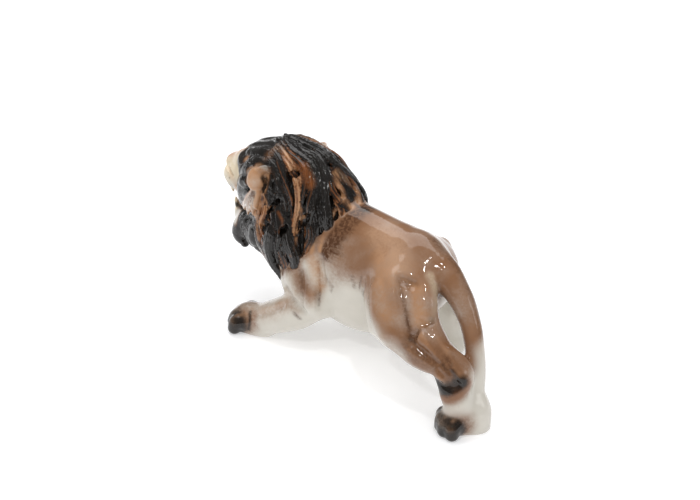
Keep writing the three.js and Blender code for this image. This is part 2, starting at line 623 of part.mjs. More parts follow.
// Thins the skin to the wanted count: the edge whose removal moves the surface least goes first.
function thin({ points, faces }, wanted) {
  const quadrics = points.map(() => new Float64Array(10));
  const facesOf = points.map(() => new Set());
  const alive = faces.map(() => true);
  const normal = (f, moved = -1, place = null) => {
    const [a, b, c] = f.map((i) => (i === moved ? place : points[i]));
    return b.clone().sub(a).cross(c.clone().sub(a));
  };
  faces.forEach((f, i) => {
    const n = normal(f);
    const area = n.length();
    n.normalize();
    const d = -n.dot(points[f[0]]);
    const q = [n.x, n.y, n.z, d];
    for (const p of f) {
      facesOf[p].add(i);
      let k = 0;
      for (let r = 0; r < 4; r += 1) for (let c = r; c < 4; c += 1) quadrics[p][k++] += q[r] * q[c] * area;
    }
  });
  const cost = (q, p) =>
    q[0] * p.x * p.x + 2 * q[1] * p.x * p.y + 2 * q[2] * p.x * p.z + 2 * q[3] * p.x +
    q[4] * p.y * p.y + 2 * q[5] * p.y * p.z + 2 * q[6] * p.y + q[7] * p.z * p.z + 2 * q[8] * p.z + q[9];
  const stamp = new Int32Array(points.length);
  const heap = [];
  const swap = (i, j) => ([heap[i], heap[j]] = [heap[j], heap[i]]);
  const push = (entry) => {
    heap.push(entry);
    let i = heap.length - 1;
    while (i > 0 && heap[i].cost < heap[(i - 1) >> 1].cost) {
      swap(i, (i - 1) >> 1);
      i = (i - 1) >> 1;
    }
  };
  const pop = () => {
    const top = heap[0];
    const last = heap.pop();
    if (heap.length > 0) {
      heap[0] = last;
      let i = 0;
      for (;;) {
        let s = i;
        if (2 * i + 1 < heap.length && heap[2 * i + 1].cost < heap[s].cost) s = 2 * i + 1;
        if (2 * i + 2 < heap.length && heap[2 * i + 2].cost < heap[s].cost) s = 2 * i + 2;
        if (s === i) break;
        swap(i, s);
        i = s;
      }
    }
    return top;
  };
  const propose = (a, b) => {
    const q = quadrics[a].map((x, i) => x + quadrics[b][i]);
    const m = new THREE.Matrix3().set(q[0], q[1], q[2], q[1], q[4], q[5], q[2], q[5], q[7]);
    const middle = points[a].clone().add(points[b]).multiplyScalar(0.5);
    const options = [points[a], points[b], middle];
    const reach = points[a].distanceTo(points[b]);
    if (Math.abs(m.determinant()) > 1e-6) {
      const best = v(-q[3], -q[6], -q[8]).applyMatrix3(m.invert());
      if (best.distanceTo(middle) < reach) options.push(best);
    }
    let place = options[0];
    for (const o of options) if (cost(q, o) < cost(q, place)) place = o;
    const c = Math.max(0, cost(q, place)) + 1e-4 * reach * reach;
    push({ cost: c, a, b, place: place.clone(), sa: stamp[a], sb: stamp[b] });
  };
  const neighbours = (p) => new Set([...facesOf[p]].flatMap((i) => faces[i]).filter((n) => n !== p));
  for (const f of faces) {
    for (let i = 0; i < 3; i += 1) if (f[i] < f[(i + 1) % 3]) propose(f[i], f[(i + 1) % 3]);
  }
  let count = faces.length;
  while (count > wanted && heap.length > 0) {
    const { a, b, place, sa, sb } = pop();
    if (sa !== stamp[a] || sb !== stamp[b] || !facesOf[a].size || !facesOf[b].size) continue;
    const around = neighbours(b);
    if ([...neighbours(a)].filter((n) => around.has(n)).length !== 2) continue;
    const shared = [...facesOf[a]].filter((i) => facesOf[b].has(i));
    const turned = [a, b].some((p) => [...facesOf[p]].some((i) => {
      if (shared.includes(i)) return false;
      const before = normal(faces[i]);
      const after = normal(faces[i], p, place);
      return after.dot(before) < 0.25 * after.length() * before.length() || after.length() < 1e-3;
    }));
    if (turned) continue;
    for (const i of shared) {
      for (const p of faces[i]) facesOf[p].delete(i);
      alive[i] = false;
      count -= 1;
    }
    for (const i of facesOf[b]) {
      faces[i] = faces[i].map((p) => (p === b ? a : p));
      facesOf[a].add(i);
    }
    facesOf[b].clear();
    points[a].copy(place);
    quadrics[b].forEach((x, i) => (quadrics[a][i] += x));
    stamp[a] += 1;
    stamp[b] += 1;
    for (const n of neighbours(a)) propose(Math.min(a, n), Math.max(a, n));
  }
  return { points, faces: faces.filter((_, i) => alive[i]) };
}

const wasm = await Module();
wasm.setup();

function geometryOf({ points, faces }) {
  const geometry = new THREE.BufferGeometry();
  geometry.setAttribute("position", new THREE.Float32BufferAttribute(points.flatMap((p) => p.toArray()), 3));
  geometry.setIndex(faces.flat());
  return geometry;
}

function toSolid(geometry) {
  const bare = geometry.clone();
  bare.deleteAttribute("normal");
  bare.deleteAttribute("uv");
  const merged = mergeVertices(bare, 1e-4);
  const vertProperties = new Float32Array(merged.attributes.position.array);
  const triVerts = new Uint32Array(merged.index.array);
  return new wasm.Manifold(new wasm.Mesh({ numProp: 3, vertProperties, triVerts }));
}

// The foot undersides are ground flat on Z = 0.
function groundFlat(geometry) {
  const slab = new THREE.BoxGeometry(600, 600, 60).translate(0, 0, -30);
  const mesh = toSolid(geometry).subtract(toSolid(slab)).getMesh();
  const flat = new THREE.BufferGeometry();
  flat.setAttribute("position", new THREE.BufferAttribute(mesh.vertProperties, 3));
  flat.setIndex(new THREE.BufferAttribute(mesh.triVerts, 1));
  return flat;
}

const casting = groundFlat(geometryOf(thin(skin(), SKIN_TRIANGLES)));
casting.computeBoundingBox();
const middle = casting.boundingBox.getCenter(v(0, 0, 0));
casting.translate(-middle.x, -middle.y, 0);
casting.computeVertexNormals();

const glaze = new THREE.MeshStandardMaterial({ color: PORCELAIN, roughness: 0.08, metalness: 0 });
const lion = new THREE.Mesh(casting, glaze);
lion.name = "lion";

const model = new THREE.Group();
model.add(lion);
export default model;
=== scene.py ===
"""Porcelain lion: one glazed casting, sculpted as clay and painted under a clear glaze.

The sizes are millimetres in the sculptor's frame: the lion walks towards -X, its left flank faces
-Y and it stands on Z = 0. The finished mesh is moved into the row frame, in metres.
"""

import logging
import math
from dataclasses import dataclass, field, replace
from enum import Enum
from typing import Optional, Sequence

import bmesh
import bpy
import numpy as np
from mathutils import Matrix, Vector


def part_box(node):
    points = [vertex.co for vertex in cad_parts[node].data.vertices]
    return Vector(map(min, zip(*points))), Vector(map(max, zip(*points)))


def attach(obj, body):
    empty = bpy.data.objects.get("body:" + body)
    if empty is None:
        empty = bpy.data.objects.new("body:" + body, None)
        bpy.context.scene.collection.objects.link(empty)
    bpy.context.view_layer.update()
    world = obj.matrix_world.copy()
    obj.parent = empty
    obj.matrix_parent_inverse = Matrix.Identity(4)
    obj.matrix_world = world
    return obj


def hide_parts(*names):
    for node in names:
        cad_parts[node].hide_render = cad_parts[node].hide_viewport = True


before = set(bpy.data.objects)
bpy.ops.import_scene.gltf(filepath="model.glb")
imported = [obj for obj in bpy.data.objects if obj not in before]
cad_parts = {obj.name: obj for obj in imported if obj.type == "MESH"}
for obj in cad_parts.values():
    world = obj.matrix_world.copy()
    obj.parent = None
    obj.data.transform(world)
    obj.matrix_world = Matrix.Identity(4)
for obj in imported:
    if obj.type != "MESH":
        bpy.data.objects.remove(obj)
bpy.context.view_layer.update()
LOG = logging.getLogger("lion")

Point = Sequence[float]
Line = Sequence[Point]
Array = np.ndarray
Socket = bpy.types.NodeSocket
MM = 0.001
SIDES = (-1, 1)
FAR = 1e3
TINY = 1e-9


def chance(seed: float) -> float:
    """Gives a repeatable number from 0 to 1 for a seed."""
    s = math.sin(seed * 12.9898 + 4.1414) * 43758.5453
    return s - math.floor(s)


def soften(a: Array, b: Array, k: float) -> Array:
    """Joins two distances with a soft minimum.

    Args:
        a: distance to the first form.
        b: distance to the second form.
        k: width of the fillet between them.

    Returns:
        The distance to both forms together.
    """
    h = np.maximum(k - np.abs(a - b), 0) / k
    return np.minimum(a, b) - h * h * (k * 0.25)


def smooth_step(low: float, high: float, x: Array) -> Array:
    """Runs smoothly from 0 at low to 1 at high, which may be the smaller one."""
    t = np.clip((x - low) / (high - low), 0, 1)
    return t * t * (3 - 2 * t)


def mirrored(line: Line, side: int) -> list[Point]:
    """Gives a line as it is drawn for 1, and on the other flank for -1; radii stay."""
    return [(x, y * side, *rest) for x, y, *rest in line]


def around(centre: Point, offsets: Line, side: int = 1) -> list[Point]:
    """Gives a line from offsets about a centre, mirrored for side -1; radii stay."""
    x, y, z = centre
    return [(x + dx, y + dy * side, z + dz, *rest) for dx, dy, dz, *rest in offsets]


def curve_points(control: Array, count: int) -> Array:
    """Samples a centripetal spline through control points.

    Args:
        control: the control points, one a row.
        count: number of equal steps of the parameter.

    Returns:
        count + 1 points along the curve.
    """
    control = np.asarray(control, float)
    last = len(control) - 1
    padded = np.vstack([2 * control[0] - control[1], control, 2 * control[-1] - control[-2]])
    result = []
    for i in range(count + 1):
        t = i / count * last
        j = min(int(t), last - 1)
        f = t - j
        p0, p1, p2, p3 = padded[j:j + 4]
        d0, d1, d2 = (max(np.linalg.norm(q - p), 1e-4) ** 0.5 for p, q in ((p0, p1), (p1, p2), (p2, p3)))
        t1 = ((p1 - p0) / d0 - (p2 - p0) / (d0 + d1) + (p2 - p1) / d1) * d1
        t2 = ((p2 - p1) / d1 - (p3 - p1) / (d1 + d2) + (p3 - p2) / d2) * d1
        a = 2 * p1 - 2 * p2 + t1 + t2
        b = -3 * p1 + 3 * p2 - 2 * t1 - t2
        result.append(((a * f + b) * f + t1) * f + p1)
    return np.array(result)


class Ellipsoid:
    """A rounded mass, turned by angles in degrees about X, Y and Z."""

    def __init__(self, centre: Point, radii: Point, turn: Point = (0, 0, 0)) -> None:
        """Sets the mass.

        Args:
            centre: its middle.
            radii: its three half-lengths.
            turn: degrees about X, Y and Z.
        """
        self.centre = np.asarray(centre, float)
        self.radii = np.asarray(radii, float)
        ax, ay, az = np.radians(turn)
        rx = np.array([[1, 0, 0], [0, math.cos(ax), -math.sin(ax)], [0, math.sin(ax), math.cos(ax)]])
        ry = np.array([[math.cos(ay), 0, math.sin(ay)], [0, 1, 0], [-math.sin(ay), 0, math.cos(ay)]])
        rz = np.array([[math.cos(az), -math.sin(az), 0], [math.sin(az), math.cos(az), 0], [0, 0, 1]])
        self.turn = rx @ ry @ rz
        reach = self.radii.max()
        self.low, self.high = self.centre - reach, self.centre + reach

    def distance(self, p: Array) -> Array:
        """Measures points against the surface.

        Args:
            p: the points.

        Returns:
            Their distance to it, negative inside.
        """
        q = (p - self.centre) @ self.turn
        k0 = np.sqrt(((q / self.radii) ** 2).sum(-1))
        k1 = np.sqrt(((q / self.radii ** 2) ** 2).sum(-1))
        return np.where(k1 < TINY, -self.radii.min(), k0 * (k0 - 1) / np.maximum(k1, TINY))


@dataclass
class Comb:
    """Where points lie on a lock: distance to it, place across and along it."""
    gap: Array
    across: Array
    along: Array


class Limb:
    """A chain of tapered pieces along a smooth spine, round or flattened in section."""

    def __init__(self, stations: Line, steps: int = 6, flat: float = 1,
                 across: Optional[Point] = None) -> None:
        """Sets the limb.

        Args:
            stations: (x, y, z, radius) along the spine.
            steps: pieces between two stations.
            flat: thickness of the section along across, as a share of its width.
            across: direction in which a flat section is thin.
        """
        s = np.asarray(stations, float)
        count = (len(s) - 1) * steps
        self.points = curve_points(s[:, :3], count)
        t = np.arange(count + 1) / count * (len(s) - 1)
        j = np.minimum(t.astype(int), len(s) - 2)
        f = t - j
        ease = f * f * (3 - 2 * f) * 0.5 + f * 0.5
        self.radii = s[j, 3] + (s[j + 1, 3] - s[j, 3]) * ease
        self.flat = flat
        self.across = None if across is None else np.asarray(across, float)
        reach = self.radii.max()
        self.low, self.high = self.points.min(0) - reach, self.points.max(0) + reach

    def piece(self, i: int, p: Array) -> tuple[Array, Array, Array]:
        """Measures points against piece i.

        Args:
            i: index of the piece.
            p: the points.

        Returns:
            Distance to its skin, signed place across its width, and place along it from 0 to 1.
        """
        start, run = self.points[i], self.points[i + 1] - self.points[i]
        d = p - start
        t = np.clip((d @ run) / (run @ run), 0, 1)
        d = d - t[..., None] * run
        radius = self.radii[i] + (self.radii[i + 1] - self.radii[i]) * t
        square = (d * d).sum(-1)
        if self.across is None:
            return np.sqrt(square) - radius, np.zeros_like(t), t
        out = d @ self.across
        side = np.cross(run, self.across)
        wide = d @ (side / max(np.linalg.norm(side), TINY))
        edge = np.sqrt(np.maximum(square - out * out, 0))
        thick = radius * self.flat
        k0 = np.hypot(edge / radius, out / thick)
        k1 = np.hypot(edge / radius ** 2, out / thick ** 2)
        return np.where(k1 < TINY, -thick, k0 * (k0 - 1) / np.maximum(k1, TINY)), wide, t

    def comb(self, p: Array) -> Comb:
        """Finds the piece that is nearest to each point.

        Args:
            p: the points.

        Returns:
            Their distance to the skin, and their place across and along the limb.
        """
        best = Comb(np.full(p.shape[:-1], FAR), np.zeros(p.shape[:-1]), np.zeros(p.shape[:-1]))
        count = len(self.points) - 1
        for i in range(count):
            gap, wide, t = self.piece(i, p)
            nearer = gap < best.gap
            best.gap = np.where(nearer, gap, best.gap)
            best.across = np.where(nearer, wide, best.across)
            best.along = np.where(nearer, (i + t) / count, best.along)
        return best


Form = Ellipsoid | Limb
Window = tuple[slice, ...]


class Clay:
    """A block of clay: a signed distance on a grid, negative inside."""

    PAD = 6.0
    EMPTY = 12.0
    PROBE = 2.0
    SEATINGS = 8
    LONGEST_MOVE = 3.0

    def __init__(self, low: Point, high: Point, cell: float) -> None:
        """Sets the block.

        Args:
            low: its lowest corner.
            high: its highest corner.
            cell: spacing of the grid.
        """
        self.cell = cell
        self.low = np.asarray(low, float)
        self.shape = np.ceil((np.asarray(high, float) - self.low) / cell).astype(int) + 1
        self.value = np.full(self.shape, self.EMPTY, np.float32)

    def window(self, low: Array, high: Array) -> tuple[Window, Array]:
        """Finds the grid points inside a box.

        Args:
            low: lowest corner.
            high: highest corner.

        Returns:
            The slices of the grid and the positions of its points.
        """
        a = np.maximum(np.floor((low - self.low) / self.cell).astype(int), 0)
        b = np.minimum(np.ceil((high - self.low) / self.cell).astype(int) + 1, self.shape)
        b = np.maximum(a, b)
        axes = [self.low[i] + np.arange(a[i], b[i]) * self.cell for i in range(3)]
        grid = np.stack(np.meshgrid(*axes, indexing="ij"), -1).astype(np.float32)
        return tuple(slice(a[i], b[i]) for i in range(3)), grid

    def near(self, form: Form, where: Window, grid: Array, join: float) -> Array:
        """Measures a form over a window; each piece of a limb is measured only around itself.

        Args:
            form: the form.
            where: the slices of the grid that make the window.
            grid: the positions of its points.
            join: width of the soft join, past which no distance counts.

        Returns:
            The distance of each point to the form.
        """
        if isinstance(form, Ellipsoid):
            return form.distance(grid)
        pad = join + self.PAD
        result = np.full(grid.shape[:-1], FAR, np.float32)
        first = np.array([s.start for s in where])
        for i in range(len(form.points) - 1):
            reach = max(form.radii[i], form.radii[i + 1]) + pad
            ends = form.points[i:i + 2]
            a = np.floor((ends.min(0) - reach - self.low) / self.cell).astype(int) - first
            b = np.ceil((ends.max(0) + reach - self.low) / self.cell).astype(int) + 1 - first
            a = np.clip(a, 0, grid.shape[:-1])
            b = np.clip(b, 0, grid.shape[:-1])
            part = tuple(slice(a[n], b[n]) for n in range(3))
            result[part] = np.minimum(result[part], form.piece(i, grid[part])[0])
        return result

    def work(self, form: Form, join: float, sign: int) -> None:
        """Works a form into the clay.

        Args:
            form: the form.
            join: width of the soft join.
            sign: 1 lays the form on, -1 presses it in.
        """
        where, grid = self.window(form.low - join - self.PAD, form.high + join + self.PAD)
        self.value[where] = sign * soften(sign * self.value[where], self.near(form, where, grid, join), join)

    def add(self, form: Form, join: float) -> None:
        """Lays a form on the clay with a soft join."""
        self.work(form, join, 1)

    def carve(self, form: Form, join: float) -> None:
        """Presses a form into the clay with a soft edge."""
        self.work(form, join, -1)

    def sample(self, values: Array, p: Array) -> Array:
        """Reads values of the grid between its nodes.

        Args:
            values: one value for each node.
            p: where it is read.

        Returns:
            The value at each point.
        """
        place = (p - self.low) / self.cell
        base = np.clip(np.floor(place).astype(int), 0, self.shape - 2)
        part = place - base
        result = np.zeros(len(p))
        for c in range(8):
            corner = np.array([c & 1, (c >> 1) & 1, (c >> 2) & 1])
            result += np.prod(np.where(corner, part, 1 - part), axis=1) * values[tuple((base + corner).T)]
        return result

    def on_skin(self, stations: Line, sink: float) -> Array:
        """Moves the stations of a line onto the skin of the clay.

        Args:
            stations: (x, y, z, radius) along the line.
            sink: depth below the skin, as a share of the radius.

        Returns:
            The moved stations.
        """
        s = np.array(stations, float)
        p = s[:, :3]
        probes = self.PROBE * np.eye(3)
        for _ in range(self.SEATINGS):
            d = self.sample(self.value, p)
            rise = [self.sample(self.value, p + e) - self.sample(self.value, p - e) for e in probes]
            slope = np.stack(rise, -1)
            slope /= np.maximum(np.linalg.norm(slope, axis=1, keepdims=True), 1e-6)
            p = p - slope * np.clip(d, -self.LONGEST_MOVE, self.LONGEST_MOVE)[:, None]
        return np.column_stack([p - slope * (sink * s[:, 3:]), s[:, 3]])

    def relief_at(self, p: Array, reach: float) -> Array:
        """Tells how far points of the skin stand out from their surroundings.

        Args:
            p: the points.
            reach: how far around each point counts, in millimetres.

        Returns:
            Positive on ridges and negative in folds, in millimetres.
        """
        half = max(1, round(reach / self.cell / 2))
        span = 2 * half + 1
        mean = np.clip(self.value, -reach, reach).astype(np.float64)
        for axis in (0, 1, 2, 0, 1, 2):
            rim = [(half + 1, half) if a == axis else (0, 0) for a in range(3)]
            total = np.cumsum(np.pad(mean, rim, "edge"), axis)
            n = mean.shape[axis]
            upper = np.take(total, np.arange(span, span + n), axis)
            mean = (upper - np.take(total, np.arange(n), axis)) / span
        return self.sample(mean, p)

    def grind_flat(self) -> None:
        """Cuts the clay off flat on the ground."""
        z = self.low[2] + np.arange(self.shape[2]) * self.cell
        self.value = np.maximum(self.value, -z[None, None, :]).astype(np.float32)


class Skin:
    """Turns clay into a mesh: one vertex in each grid cell that the surface crosses."""

    CORNERS = np.array([[c & 1, (c >> 1) & 1, (c >> 2) & 1] for c in range(8)])
    MOST_FILLINGS = 40
    FILL_DEPTH = 0.05

    def __init__(self, clay: Clay) -> None:
        """Holds the clay, whose doubtful cells are filled before meshing."""
        self.clay = clay
        self.sound = np.array([self.is_sound(mask) for mask in range(256)])

    @staticmethod
    def is_sound(mask: int) -> bool:
        """Tells whether a cell gives a clean surface.

        Args:
            mask: its pattern of inside corners, one bit for each.

        Returns:
            True where the inside corners and the outside ones each hang together, with no crossed face.
        """
        for wanted in (0, 1):
            members = [c for c in range(8) if (mask >> c) & 1 == wanted]
            seen, queue = set(members[:1]), members[:1]
            while queue:
                c = queue.pop()
                for bit in (1, 2, 4):
                    n = c ^ bit
                    if (mask >> n) & 1 == wanted and n not in seen:
                        seen.add(n)
                        queue.append(n)
            if len(seen) != len(members):
                return False
        on = [(mask >> c) & 1 for c in range(8)]
        return not any(
            on[c] == on[c ^ a ^ b] and on[c ^ a] == on[c ^ b] != on[c]
            for a, b in ((1, 2), (1, 4), (2, 4)) for c in range(8))

    def masks(self) -> Array:
        """Finds the inside corners of every cell.

        Returns:
            The pattern of each cell, one bit for each corner.
        """
        inside = self.clay.value < 0
        n = self.clay.shape - 1
        mask = np.zeros(n, np.uint8)
        for c, (x, y, z) in enumerate(self.CORNERS):
            mask |= inside[x:x + n[0], y:y + n[1], z:z + n[2]].astype(np.uint8) << c
        return mask

    def fill_unsound(self) -> None:
        """Fills the nearest outside corner of each unsound cell until none is left."""
        for _ in range(self.MOST_FILLINGS):
            cells = np.argwhere(~self.sound[self.masks()])
            if not len(cells):
                return
            corners = cells[:, None, :] + self.CORNERS[None]
            values = self.clay.value[tuple(np.moveaxis(corners, -1, 0))]
            pick = np.where(values >= 0, values, np.inf).argmin(1)
            chosen = corners[np.arange(len(cells)), pick]
            self.clay.value[tuple(chosen.T)] = -self.clay.cell * self.FILL_DEPTH

    def mesh(self) -> tuple[Array, Array]:
        """Builds the surface.

        Returns:
            The vertices in millimetres, and the faces as rows of four indices, facing out.
        """
        self.fill_unsound()
        value, low, cell = self.clay.value, self.clay.low, self.clay.cell
        mask = self.masks()
        cells = np.argwhere((mask > 0) & (mask < 255))
        index = np.full(mask.shape, -1, np.int64)
        index[tuple(cells.T)] = np.arange(len(cells))
        corners = cells[:, None, :] + self.CORNERS[None]
        v = value[tuple(np.moveaxis(corners, -1, 0))]
        total, count = np.zeros((len(cells), 3)), np.zeros(len(cells))
        for a in range(8):
            for bit in (1, 2, 4):
                if a & bit:
                    continue
                b = a | bit
                cross = (v[:, a] < 0) != (v[:, b] < 0)
                t = np.where(cross, v[:, a] / np.where(cross, v[:, a] - v[:, b], 1), 0)
                place = self.CORNERS[a] + t[:, None] * (self.CORNERS[b] - self.CORNERS[a])
                total += place * cross[:, None]
                count += cross
        points = low + (cells + total / count[:, None]) * cell
        faces = []
        for axis in range(3):
            here = [slice(1, -1)] * 3
            there = [slice(1, -1)] * 3
            there[axis] = slice(2, None)
            inside = value[tuple(here)] < 0
            cross = np.argwhere(inside != (value[tuple(there)] < 0)) + 1
            flip = inside[tuple((cross - 1).T)]
            u, w = np.zeros(3, int), np.zeros(3, int)
            u[(axis + 1) % 3] = 1
            w[(axis + 2) % 3] = 1
            ring = np.stack([index[tuple((cross - s).T)] for s in (0 * u, u, u + w, w)], 1)
            faces.append(np.where(flip[:, None], ring, ring[:, ::-1]))
        return points, np.vstack(faces)


class Pigment(Enum):
    """Paints laid under the glaze, in the order they are laid."""
    BROWN = "brown"
    UMBER = "umber"
    CREAM = "cream"
    IVORY = "ivory"
    TAN = "tan"
    AMBER = "amber"
    PINK = "pink"
    BLACK = "black"


BROWN, UMBER, CREAM, IVORY, TAN, AMBER, PINK, BLACK = Pigment
LAID_LATER = {pigment: list(Pigment)[n + 1:] for n, pigment in enumerate(Pigment)}


@dataclass(frozen=True)
class Stroke:
    """A sprayed or brushed line of paint: where it runs, how broad and how soft it is.

    A stroke that is laid over covers the pigments that come after its own as well.
    """
    pigment: Pigment
    line: Line
    radius: float
    soft: float
    strength: float = 1.0
    over: bool = False

    BENDS = 4

    def on(self, side: int) -> "Stroke":
        """Gives the stroke as it is drawn for 1, and on the other flank for -1."""
        return replace(self, line=mirrored(self.line, side))

    def about(self, centre: Point, side: int) -> "Stroke":
        """Gives a stroke that is drawn as offsets, moved to a centre and mirrored for side -1."""
        return replace(self, line=around(centre, self.line, side))

    def cover(self, p: Array) -> Array:
        """Tells how much of the stroke lands on each point.

        Args:
            p: the points.

        Returns:
            The share of paint, from 0 to its strength.
        """
        line = np.asarray(self.line, float)
        if len(line) > 2:
            line = curve_points(line, self.BENDS * (len(line) - 1))
        best = np.full(len(p), np.inf)
        if len(line) == 1:
            best = ((p - line[0]) ** 2).sum(1)
        for a, b in zip(line[:-1], line[1:]):
            run = b - a
            t = np.clip(((p - a) @ run) / max(run @ run, TINY), 0, 1)
            best = np.minimum(best, ((p - a - t[:, None] * run) ** 2).sum(1))
        gap = np.sqrt(best) - self.radius
        return self.strength * (1 - smooth_step(-self.soft, self.soft, gap))

    def lay(self, p: Array, cover: dict[Pigment, Array]) -> None:
        """Adds the stroke to the paint at each point.

        Args:
            p: the points.
            cover: share of each pigment, which the stroke changes.
        """
        laid = self.cover(p)
        cover[self.pigment] = 1 - (1 - cover[self.pigment]) * (1 - laid)
        if self.over:
            for later in LAID_LATER[self.pigment]:
                cover[later] = cover[later] * (1 - laid)


@dataclass
class Trunk:
    """Ribs, slung belly, loin, rump and chest."""
    masses: Sequence[tuple[Point, Point, float]] = (
        ((-28, 0, 84), (60, 38, 49), 12), ((-14, 0, 64), (58, 40, 42), 18),
        ((20, 0, 93), (50, 33, 38), 16), ((40, 0, 96), (35, 28, 32), 16),
        ((-62, 0, 78), (32, 34, 42), 14))
    spine: Line = ((-60, 0, 116, 16), (-20, 0, 120, 14), (20, 0, 119, 13), (50, 0, 118, 14))
    back: Stroke = Stroke(BROWN, ((-70, 0, 130), (0, 0, 132), (60, 0, 124)), 44, 14)
    flank: Sequence[Stroke] = (
        Stroke(BROWN, ((-30, -40, 116), (0, -40, 112), (30, -40, 112)), 21, 10, 0.88),
        # Painted shadow: a brown patch low on the flank
        Stroke(BROWN, ((-17, -40, 83), (-9, -38, 92)), 6, 8, 0.5),
        # Painted shade: umber in the fold between the flank and the thigh
        Stroke(UMBER, ((19, -38, 86), (22, -41, 74)), 2.5, 3, 0.7),
        Stroke(UMBER, ((4, -37, 96), (9, -38, 87)), 0.8, 1.6, 0.8),
        Stroke(UMBER, ((14, -36, 100), (13, -38, 88)), 0.8, 1.6, 0.8))

    def sculpt(self, clay: Clay) -> None:
        """Lays the masses and the spine.

        Args:
            clay: the clay they are laid on.
        """
        for centre, radii, join in self.masses:
            clay.add(Ellipsoid(centre, radii), join)
        clay.add(Limb(self.spine), join=16)

    def strokes(self) -> list[Stroke]:
        """Lists the paint of the back and of both flanks."""
        return [self.back] + [stroke.on(side) for side in (1, -1) for stroke in self.flank]


@dataclass
class Paw:
    """A paw on flat ground, with toes fanned about its heading."""
    heel: Point
    heading: float
    width: float
    length: float
    toes: int = 4
    toe_radius: float = 6.8
    front_curve: float = 0.704
    pad_height: float = 10
    knuckle_height: float = 13
    bend_height: float = 11.5
    tip_height: float = 5.4

    def place(self, ahead: float, aside: float, up: float) -> list[float]:
        """Finds a point of the paw.

        Args:
            ahead: distance from the heel along the heading.
            aside: distance to the left of the heading.
            up: height above the ground.

        Returns:
            Its x, y and z.
        """
        a = math.radians(self.heading)
        x = self.heel[0] + ahead * math.cos(a) - aside * math.sin(a)
        y = self.heel[1] + ahead * math.sin(a) + aside * math.cos(a)
        return [x, y, up]

    def toe_line(self, i: int) -> list[list[float]]:
        """Finds the stations of a toe.

        Args:
            i: its number, from 0.

        Returns:
            (x, y, z, radius) at the knuckle, the bend and the tip.
        """
        s = (i - (self.toes - 1) / 2) / (self.toes - 1)
        reach = self.length * (1 - self.front_curve * s * s)
        spread = s * (self.width - self.toe_radius * 1.2)
        r = self.toe_radius
        return [
            self.place(self.length * 0.42, spread * 0.72, self.knuckle_height) + [r * 0.9],
            self.place(reach * 0.78, spread * 0.95, self.bend_height) + [r * 1.02],
            self.place(reach - r * 0.6, spread, self.tip_height) + [r * 0.9],
        ]

    def sculpt(self, clay: Clay) -> None:
        """Lays the pad and the toes.

        Args:
            clay: the clay they are laid on.
        """
        pad = [
            self.place(2, 0, self.pad_height) + [self.width * 0.36],
            self.place(self.length * 0.5, 0, self.pad_height) + [self.width * 0.42]]
        clay.add(Limb(pad), join=8)
        for i in range(self.toes):
            clay.add(Limb(self.toe_line(i)), join=2.6)

    def strokes(self) -> list[Stroke]:
        """Lists the paint of the paw.

        Returns:
            Brown knuckles, dark toes, tan painted highlights over the tops of the toes, and tan between
            them.
        """
        half = self.width * 0.36
        fade = [self.place(self.length * 0.5, aside, self.knuckle_height) for aside in (-half, half)]
        toes = [self.toe_line(i) for i in range(self.toes)]
        result = [
            Stroke(BROWN, fade, 14, 8, 0.95),
            Stroke(UMBER, fade, 9, 7, 0.6),
            Stroke(BLACK, [knuckle[:2] + [self.pad_height] for knuckle, _, _ in toes], 5, 5, 0.6)]
        for knuckle, bend, tip in toes:
            start = [a * 0.35 + b * 0.65 for a, b in zip(knuckle[:3], bend)]
            result.append(Stroke(BLACK, [start, tip[:3], tip[:2] + [0]], self.toe_radius * 1.4, 2.4, 0.97))
        # Painted highlight: tan along the top of each toe
        for toe in toes:
            top = [[x, y, z + self.toe_radius] for x, y, z, _ in toe[:2]]
            result.append(Stroke(TAN, top, 1.6, 2.2, 0.7, True))
        rise = (0, 0, self.toe_radius * 0.4)
        for one, other in zip(toes[:-1], toes[1:]):
            gap = [[(a + b) / 2 + up for a, b, up in zip(p, q, rise)] for p, q in zip(one[:2], other)]
            result.append(Stroke(TAN, gap, 1, 1.2, 0.85, True))
        return result


